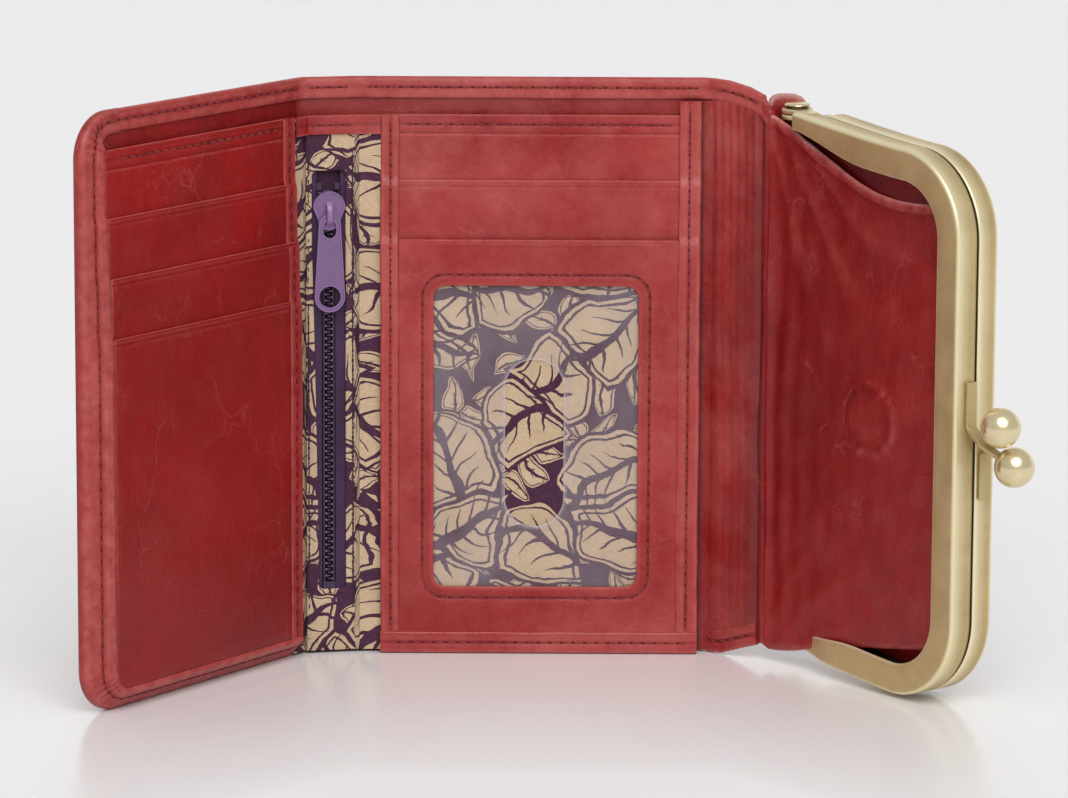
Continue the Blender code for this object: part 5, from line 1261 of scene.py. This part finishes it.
def pouch_sheet(name, us, body, replaces):
    """The front leather as a closed sheet: its outer face, rolled edges and inner face."""
    rows, shades = [], []
    ups = np.concatenate([[0.0, 0.004], np.linspace(0.015, 0.97, 63),
                          [0.9745, 0.978, 0.982, 0.986, 0.99, 0.9945, 0.998, 1.0]])
    for u in us:
        low, high = float(edge_bottom(u)), float(edge_top(u))
        z = low + (high - low) * ups
        depth = pouch_depth(u, ups)
        edge = np.minimum(z - low, high - z)
        half = 0.5 * np.clip(edge / 0.5, 0.0, 1.0) ** 0.5 + 0.1
        top_edge = high - z
        front = depth - half - 0.16 * ease((2.0 - top_edge) / 0.5) * ease(top_edge / 0.4)
        disc = disc_reach(u, ups)
        # Painted highlights on the fold crests and at the crease's top edge; a light and a dark ring round the
        # magnet's imprint, painted highlight and shade; painted shade in the crease and in a line under the top
        # band.
        # Scuffed rolled edges, random tone, a lighter rolled top band and a scuffed patch near the crease's top.
        wear_and_painted_light = (0.9 * np.exp(-(edge / 0.5) ** 2) + 0.1 * ripple(u, z, 11.0, 3)
                + 0.3 * np.maximum(fan_folds(u, ups), 0.0) ** 2
                + 0.42 * ease((2.1 - top_edge) / 0.5) - 0.3 * bump(top_edge, 2.35, 0.4)
                + 0.45 * bump(disc, 7.5, 0.6) - 0.4 * bump(disc, 6.3, 0.7) + 0.12 * ease((5.0 - disc) / 2.0)
                - 0.6 * bump(u, -0.6, 1.6) + 0.35 * bump(u, 1.3, 1.0) * ease((ups - 0.9) / 0.1)
                + 1.4 * ease((1.2 - u) / 1.5) * np.exp(-(top_edge / 0.7) ** 2))
        rows.append(in_pouch(u, np.concatenate([front, (depth + half * 0.9)[::-1]]), there_and_back(z)))
        # The inner face is painted darker: painted shade.
        shades.append(np.concatenate([wear_and_painted_light, np.full(len(z), -0.3)]))
    solid(name, POUCH_LEATHER_SHADED, body, rows, shades, [replaces])


def pouch_blend(start, end):
    return (*POUCH_BODIES, tuple(in_pouch(*start, BLEND_LEVEL)), tuple(in_pouch(*end, BLEND_LEVEL)))


def pouch():
    pouch_sheet("pouch_front", spaced(7.1, 53.6, 0.9), "pouch_front", "pouch_front_leather")
    pouch_sheet("pouch_crease", spaced(-0.9, 7.2, 0.55), pouch_blend((1.5, 2.0), (7.0, 2.0)),
                "pouch_crease_leather")

    rows = []
    levels = np.linspace(0.0, 1.0, 40)
    for u, depth, top in ((-0.8, 1.9, 114.6), (-1.1, 2.6, 115.6), (-1.2, 3.4, 116.2), (-1.0, 4.6, 116.5),
                          (-0.3, 5.9, 116.5), (0.8, 7.1, 116.4), (1.7, 8.0, 115.9), (2.6, 8.6, 114.6),
                          (3.6, 9.0, 113.2), (4.8, 9.25, 112.2), (6.0, 9.2, 111.6), (7.1, 9.1, 111.2)):
        low = 4.4 + 0.8 * ease((depth - 3.0) / 3.0)
        z = low + (top - low) * levels
        rows.append(in_pouch(u, depth + 0.1 * ripple(z, u, 18.0, 2), z))
    for u in spaced(8.0, 53.6, 1.6):
        low, high = back_bottom(u), back_top(u)
        z = low + (high - low) * levels
        full = 9.0 + 4.0 * swell(u, levels)
        rows.append(in_pouch(u, full + 0.18 * ripple(z, u, 24.0, 5) * np.sin(pi * levels), z))
    # The back leather's edges are lighter, scuffing, and its top near the crease gets a pale line; its inner face
    # is painted darker, painted shade.
    edge = np.minimum(levels, 1 - levels)
    wear_and_painted_light = np.tile(0.8 * np.exp(-(edge / 0.012) ** 2), (len(rows), 1))
    wear_and_painted_light[:7] = np.maximum(wear_and_painted_light[:7], 1.7 * np.exp(-((1 - levels) / 0.006) ** 2))
    solid("pouch_back", POUCH_LEATHER_SHADED, "pouch_back", thick_sheet(rows, 0.5),
          np.concatenate([wear_and_painted_light, wear_and_painted_light[:, ::-1] - 0.5], axis=1), ["pouch_back_leather"])

    for name, low_edge, high_edge, deep, full, seed in (("front", edge_bottom, edge_top, 3.95, 0.0, 3),
                                                        ("back", back_bottom, back_top, 8.1, 4.0, 8)):
        rows = []
        for u in spaced(8.0, 53.5, 2.2):
            low, high = low_edge(u) + 1.4, high_edge(u) - 1.4
            z = low + (high - low) * levels
            rows.append(in_pouch(u, deep + full * swell(u, levels) + 0.12 * ripple(z, u, 20.0, seed), z))
        solid("pouch_cloth_" + name, PLUM, "pouch_" + name, thick_sheet(rows, 0.12),
              replaces=["pouch_%s_lining" % name])

    share = np.linspace(0.0, 1.0, 15)
    for name, rim, frame_edge, inward in (("gusset_top", edge_top, back_top, -1),
                                          ("gusset_bottom", edge_bottom, back_bottom, 1)):
        rows = []
        for u in spaced(10.7, 48.6, 1.2):
            far = frame_edge(u, min(4.5, arm_face(u) * 0.8) + 0.35)
            near = rim(u) + inward * 0.5
            dip = 1.5 * np.sin(pi * share ** 0.7) + 0.2 * ripple(share * 9, u, 9.0, 4)
            rows.append(in_pouch(u, 4.0 + 2.5 * share, near + (far - near) * share ** 1.5 + inward * dip))
        solid(name + "_leather", GUSSET_LIT, pouch_blend((20.0, 6.3), (20.0, 4.4)), thick_sheet(rows, 0.25),
              replaces=[name])


def thick_sheet(middle, half):
    """Both faces of a sheet whose middle surface is a grid of points, as closed sections."""
    middle = np.array(middle)
    normal = np.cross(np.gradient(middle, axis=0), np.gradient(middle, axis=1))
    normal /= np.maximum(np.linalg.norm(normal, axis=2), 1e-9)[..., None]
    return np.concatenate([middle + normal * half, (middle - normal * half)[:, ::-1]], axis=1)


# Brass frame
def frame_section(face, back):
    """The C section as (inward, depth, shading value): a softly crowned face, round outer and inner edges."""
    radius = min(0.75, face * 0.45)
    leg = min(4.5, face * 0.8)
    # The shading values paint highlights on the rounded edges and down the outer side, and shade in the gap between
    # the halves and inside the channel.
    rub_and_painted_light = (-1.0, -1.0, 0.9, 0.95, 0.7, 0.35, 0.0, 0.0) if back else (-1.0, -1.0, -0.9, -0.5, 0.0, 0.0, 0.3, 0.6)
    edge = ((0.55, DEPTH), (0.3, DEPTH - 0.03), (0.1, DEPTH - 0.14), (0.0, DEPTH - 0.3), (0.0, DEPTH - 0.75),
            (0.0, DEPTH - 1.7), (0.0, radius + 1.2), (0.0, radius + 0.3))
    points = [(leg, DEPTH, -1.0), (leg, DEPTH - 0.05, -1.0)] + [(*place, wear_and_painted_light) for place, wear_and_painted_light in zip(edge, rub_and_painted_light)]
    points += [(radius * (1 - cos(turn)), radius * (1 - sin(turn)), 0.6 * cos(turn) + 0.3 * sin(turn * 2))
               for turn in np.radians(range(0, 91, 15))]
    points += [(radius + (face - 0.5 - radius) * share, 0.2 * (share - 0.5) ** 2, 0.0)
               for share in (0.2, 0.4, 0.6, 0.8, 1.0)]
    points += [(face - 0.22, 0.1, 0.5), (face - 0.04, 0.3, 0.9), (face, 0.5, 0.7), (face - 0.08, WALL, -0.2),
               (radius + 0.3, WALL + 0.05, -0.9), (WALL, radius + 0.3, -0.9), (WALL, DEPTH - WALL, -0.9),
               (leg, DEPTH - WALL, -0.6)]
    return np.array(points).T


ARM_STATIONS = (8.0, 8.4, 9.0, 9.8, 10.8, 12.0, 13.4, 15.0, 17.0, 19.0, 21.0, 23.0, 26.0, 29.0, 33.0, 37.0,
                FRAME_BEND)


def frame_path(back):
    """Places round the frame with the way inward and the face's width there."""
    arm = [(u, joggle(u) if back else 0.0, arm_face(u)) for u in ARM_STATIONS]
    path = [((u, FRAME_TOP - arm_inset(u, drop, TOP_RISE)), (0.0, -1.0), face) for u, drop, face in arm]
    for centre, turns in ((FRAME_TOP - FRAME_CORNER, range(85, -1, -5)),
                          (FRAME_LOW + FRAME_CORNER, range(0, -90, -5))):
        for turn in np.radians(turns):
            path.append(((FRAME_BEND + FRAME_CORNER * cos(turn), centre + FRAME_CORNER * sin(turn)),
                         (-cos(turn), -sin(turn)), FACE))
    return path + [((u, FRAME_LOW + arm_inset(u, drop, -LOW_RISE)), (0.0, 1.0), face)
                   for u, drop, face in arm[::-1]]


RIVET = (3.5, 5.4)  # u and w of the frame's hinge


def strap(shape, back, level, side):
    """A hinge strap: an eye round the rivet and a bar out to the channel."""
    near, far = (5.9, 8.2) if back else (2.6, 4.9)
    size = 3.15
    ends = []
    for w, sign in ((far, 1), (near, -1)):
        across, rise = 8.0 - RIVET[0], w - RIVET[1]
        ends.append(degrees(atan2(rise, across) + sign * acos(size / hypot(across, rise))))
    eye = [(RIVET[0] + size * cos(turn), RIVET[1] + size * sin(turn))
           for turn in np.radians(np.linspace(ends[0], ends[1] + 360, 30))]
    outline = np.array([(10.5, near), (10.5, far), (8.0, far)] + eye + [(8.0, near)])
    inward = outline.mean(axis=0) - outline
    inward /= np.linalg.norm(inward, axis=1)[:, None]
    rows, wear_and_painted_light = [], []
    # The strap's edge rows are painted lighter: painted highlights.
    for inset, lift, rub_and_painted_light in ((0.12, 0.0, 0.5), (0.03, 0.1, 0.9), (0.0, 0.25, 0.4), (0.0, 0.7, 0.0),
                             (0.1, 0.9, 0.3)):
        ring = outline + inward * inset
        rows.append(in_pouch(ring[:, 0], ring[:, 1], level - side * lift))
        wear_and_painted_light.append(np.full(len(ring), rub_and_painted_light))
    shape.loft(rows, wear_and_painted_light)


# A rivet's radius and height over the arm, from its dome to its foot
RIVET_PROFILE = ((0.02, 1.2), (1.0, 1.19), (1.9, 1.13), (2.4, 1.02), (2.68, 0.86), (2.74, 0.72), (2.6, 0.62),
                 (2.3, 0.6), (2.25, 0.3), (2.25, 0.02), (1.0, 0.0), (1.0, -2.3), (2.0, -2.3), (2.1, -2.45),
                 (1.7, -2.9), (0.02, -2.9))
BALL_RADIUS, BALL_REACH = 4.0, 9.2


def brass():
    for name, back in (("front", False), ("back", True)):
        step = 1.2 if back else 0.0
        rows, shades = [], []
        for (u, z), (way_u, way_z), face in frame_path(back):
            inward, deep, wear_and_painted_light = frame_section(face, back)
            behind = 0.0 if back or z > 20.0 else 2.3 * (1.0 - float(ease((u - 9.0) / 12.0)))
            depth = 10.8 - deep if back else behind + deep * (DEPTH - behind) / DEPTH
            rows.append(in_pouch(u + way_u * inward, depth, z + way_z * inward))
            shades.append(wear_and_painted_light)
        shape = Shape()
        shape.loft(rows, shades)
        strap(shape, back, FRAME_TOP + TOP_RISE - step, 1)
        strap(shape, back, FRAME_LOW + LOW_RISE + step, -1)
        shape.piece("kiss_frame_" + name, BRASS, "pouch_" + name, ["frame_" + name], 35.0)

    turn = spin(36)
    for name, level, side in (("rivet_top", FRAME_TOP + TOP_RISE, 1), ("rivet_bottom", FRAME_LOW + LOW_RISE, -1)):
        rows = [in_pouch(RIVET[0] + radius * np.cos(turn), RIVET[1] + radius * np.sin(turn), level + side * lift)
                for radius, lift in RIVET_PROFILE]
        # The cap is lighter, and its neck is painted dark: painted shade under the cap.
        wear_and_painted_light = [[0.6 if lift > 0.7 else (-1.0 if 0.0 <= lift < 0.61 else 0.0)] for _, lift in RIVET_PROFILE]
        solid(name + "_dome", BRASS_BALL, "pouch_back", rows, wear_and_painted_light, [name])

    turn = spin(48)
    for name, w, z in (("front", 7.35, 50.25), ("back", 3.45, 58.55)):
        rows = []
        for tilt in np.radians(np.linspace(2, 178, 33)):
            ring = BALL_RADIUS * sin(tilt)
            rows.append(in_pouch(REACH + BALL_REACH + ring * np.cos(turn), w + ring * np.sin(turn),
                                 z + BALL_RADIUS * cos(tilt)))
        solid("ball_" + name, BRASS_BALL, "pouch_" + name, rows, 0.55, ["clasp_ball_" + name])
        clasp_arm("clasp_arm_" + name, "clasp_strip_" + name, "pouch_" + name)


def clasp_arm(name, node, body):
    """A clasp strip's own shape with rounded edges."""
    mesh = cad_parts[node].data.copy()
    mesh.name = name
    shape = bmesh.new()
    shape.from_mesh(mesh)
    bmesh.ops.remove_doubles(shape, verts=shape.verts, dist=0.002 * MM)
    bmesh.ops.dissolve_limit(shape, angle_limit=radians(2.0), verts=shape.verts, edges=shape.edges)
    shape.to_mesh(mesh)
    shape.free()
    mesh.materials.clear()
    mesh.materials.append(BRASS)
    obj = bpy.data.objects.new(name, mesh)
    bpy.context.scene.collection.objects.link(obj)
    modifier = obj.modifiers.new("round", "BEVEL")
    modifier.width = 0.22 * MM
    modifier.segments = 3
    modifier.limit_method = "ANGLE"
    modifier.angle_limit = radians(28.0)
    modifier.harden_normals = True
    mesh.shade_smooth()
    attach(obj, body)
    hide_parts(node)


# Studio, in metres
FLOOR_ACROSS = (-8.0, -1.0, 1.0, 8.0)
FLOOR_PROFILE = [(-8.0, 0.0), (-1.0, 0.0), (0.0, 0.0), (1.5, 0.0), (3.0, 0.0)]
FLOOR_PROFILE += [(3.0 + 0.8 * sin(radians(a)), 0.8 - 0.8 * cos(radians(a))) for a in range(9, 91, 9)]
FLOOR_PROFILE += [(3.8, 1.6), (3.8, 2.6)]
WORLD_LEVEL, SEEN_LEVEL = 0.48, 0.86


def add_floor():
    """A pale floor that curves up far behind. Its shine fades with distance from the wallet."""
    mesh = bpy.data.meshes.new("floor")
    mesh.from_pydata([(x, y, z) for y, z in FLOOR_PROFILE for x in FLOOR_ACROSS], [],
                     [(i * 4 + j, i * 4 + j + 1, i * 4 + j + 5, i * 4 + j + 4)
                      for i in range(len(FLOOR_PROFILE) - 1) for j in range(3)])
    mesh.shade_smooth()
    floor = bpy.data.objects.new("floor", mesh)
    bpy.context.scene.collection.objects.link(floor)
    s = Surface("pale_floor", 0.16)
    tone = s.mix(s.noise(9.0), (0.895, 0.89, 0.892), (0.91, 0.907, 0.908))
    place = s.parts(s.object)
    sideways = s.size(place[0])
    aside = s.most(s.less(sideways, 0.036), 0.0)
    ahead = s.times(s.maths("ADD", place[1], s.times(aside, 1.1)), -1.0)
    away = s.most(s.most(ahead, place[1]), s.less(sideways, 0.092))
    far = s.range(s.most(place[1], s.less(sideways, 0.1)), 0.0, 2.5)
    s.shade(Base_Color=s.mix(far, tone, (0.82, 0.815, 0.818)), Roughness=s.range(away, 0.02, 0.1, 0.17, 0.4),
            Specular_IOR_Level=s.range(away, 0.012, 0.1, 0.5, 0.0))
    mesh.materials.append(s.material)


def studio():
    add_floor()
    world = bpy.data.worlds.new("studio")
    bpy.context.scene.world = world
    world.use_nodes = True
    nodes = world.node_tree.nodes
    seen = nodes.new("ShaderNodeLightPath").outputs["Is Camera Ray"]
    level = nodes.new("ShaderNodeMapRange")
    level.inputs["To Min"].default_value = WORLD_LEVEL
    level.inputs["To Max"].default_value = SEEN_LEVEL
    world.node_tree.links.new(seen, level.inputs["Value"])
    world.node_tree.links.new(level.outputs[0], nodes["Background"].inputs["Strength"])
    nodes["Background"].inputs["Color"].default_value = (1.0, 1.0, 1.0, 1.0)

    sun = bpy.data.lights.new("softbox", "SUN")
    sun.energy = 1.95
    sun.angle = radians(50.0)
    lamp = bpy.data.objects.new("softbox", sun)
    rise, turn = radians(44.0), radians(8.0)
    way = Vector((sin(turn) * cos(rise), -cos(turn) * cos(rise), sin(rise)))
    lamp.rotation_euler = way.to_track_quat("Z", "Y").to_euler()
    bpy.context.scene.collection.objects.link(lamp)

    camera = bpy.data.cameras.new("camera")
    camera.lens = 190.51
    camera.sensor_width = 36.0
    camera.sensor_fit = "HORIZONTAL"
    camera.clip_end = 50.0
    obj = bpy.data.objects.new("camera", camera)
    obj.location = (-1.86 * MM, -1134.65 * MM, 272.16 * MM)
    turn = Matrix.Rotation(radians(-0.036), 3, "Z") @ Matrix.Rotation(radians(90.0 - 10.955), 3, "X")
    obj.rotation_euler = (turn @ Matrix.Rotation(radians(0.28), 3, "Z")).to_euler()
    bpy.context.scene.collection.objects.link(obj)
    bpy.context.scene.camera = obj
    bpy.context.scene.view_settings.view_transform = "Standard"


covers()
middle_panel()
flap_panel()
spine_lining()
zip_rows()
zip_slider()
right_spine()
pouch()
brass()
for (body_name, on_lining), sewn in threads.items():
    sewn.pieces(body_name + ("_lining" if on_lining else ""), body_name, PLUM if on_lining else THREAD,
                PLUM if on_lining else HOLE)

for node, surface in (("zip_stop_bottom", COIL), ("zip_stop_top_left", COIL), ("zip_stop_top_right", COIL),
                      ("magnet_flap", STEEL), ("magnet_pouch", STEEL), ("magnet_patch", GUSSET_LIT),
                      ("frame_packing_front", PLUM), ("frame_packing_back", PLUM)):
    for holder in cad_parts[node].material_slots:
        holder.material = surface

studio()
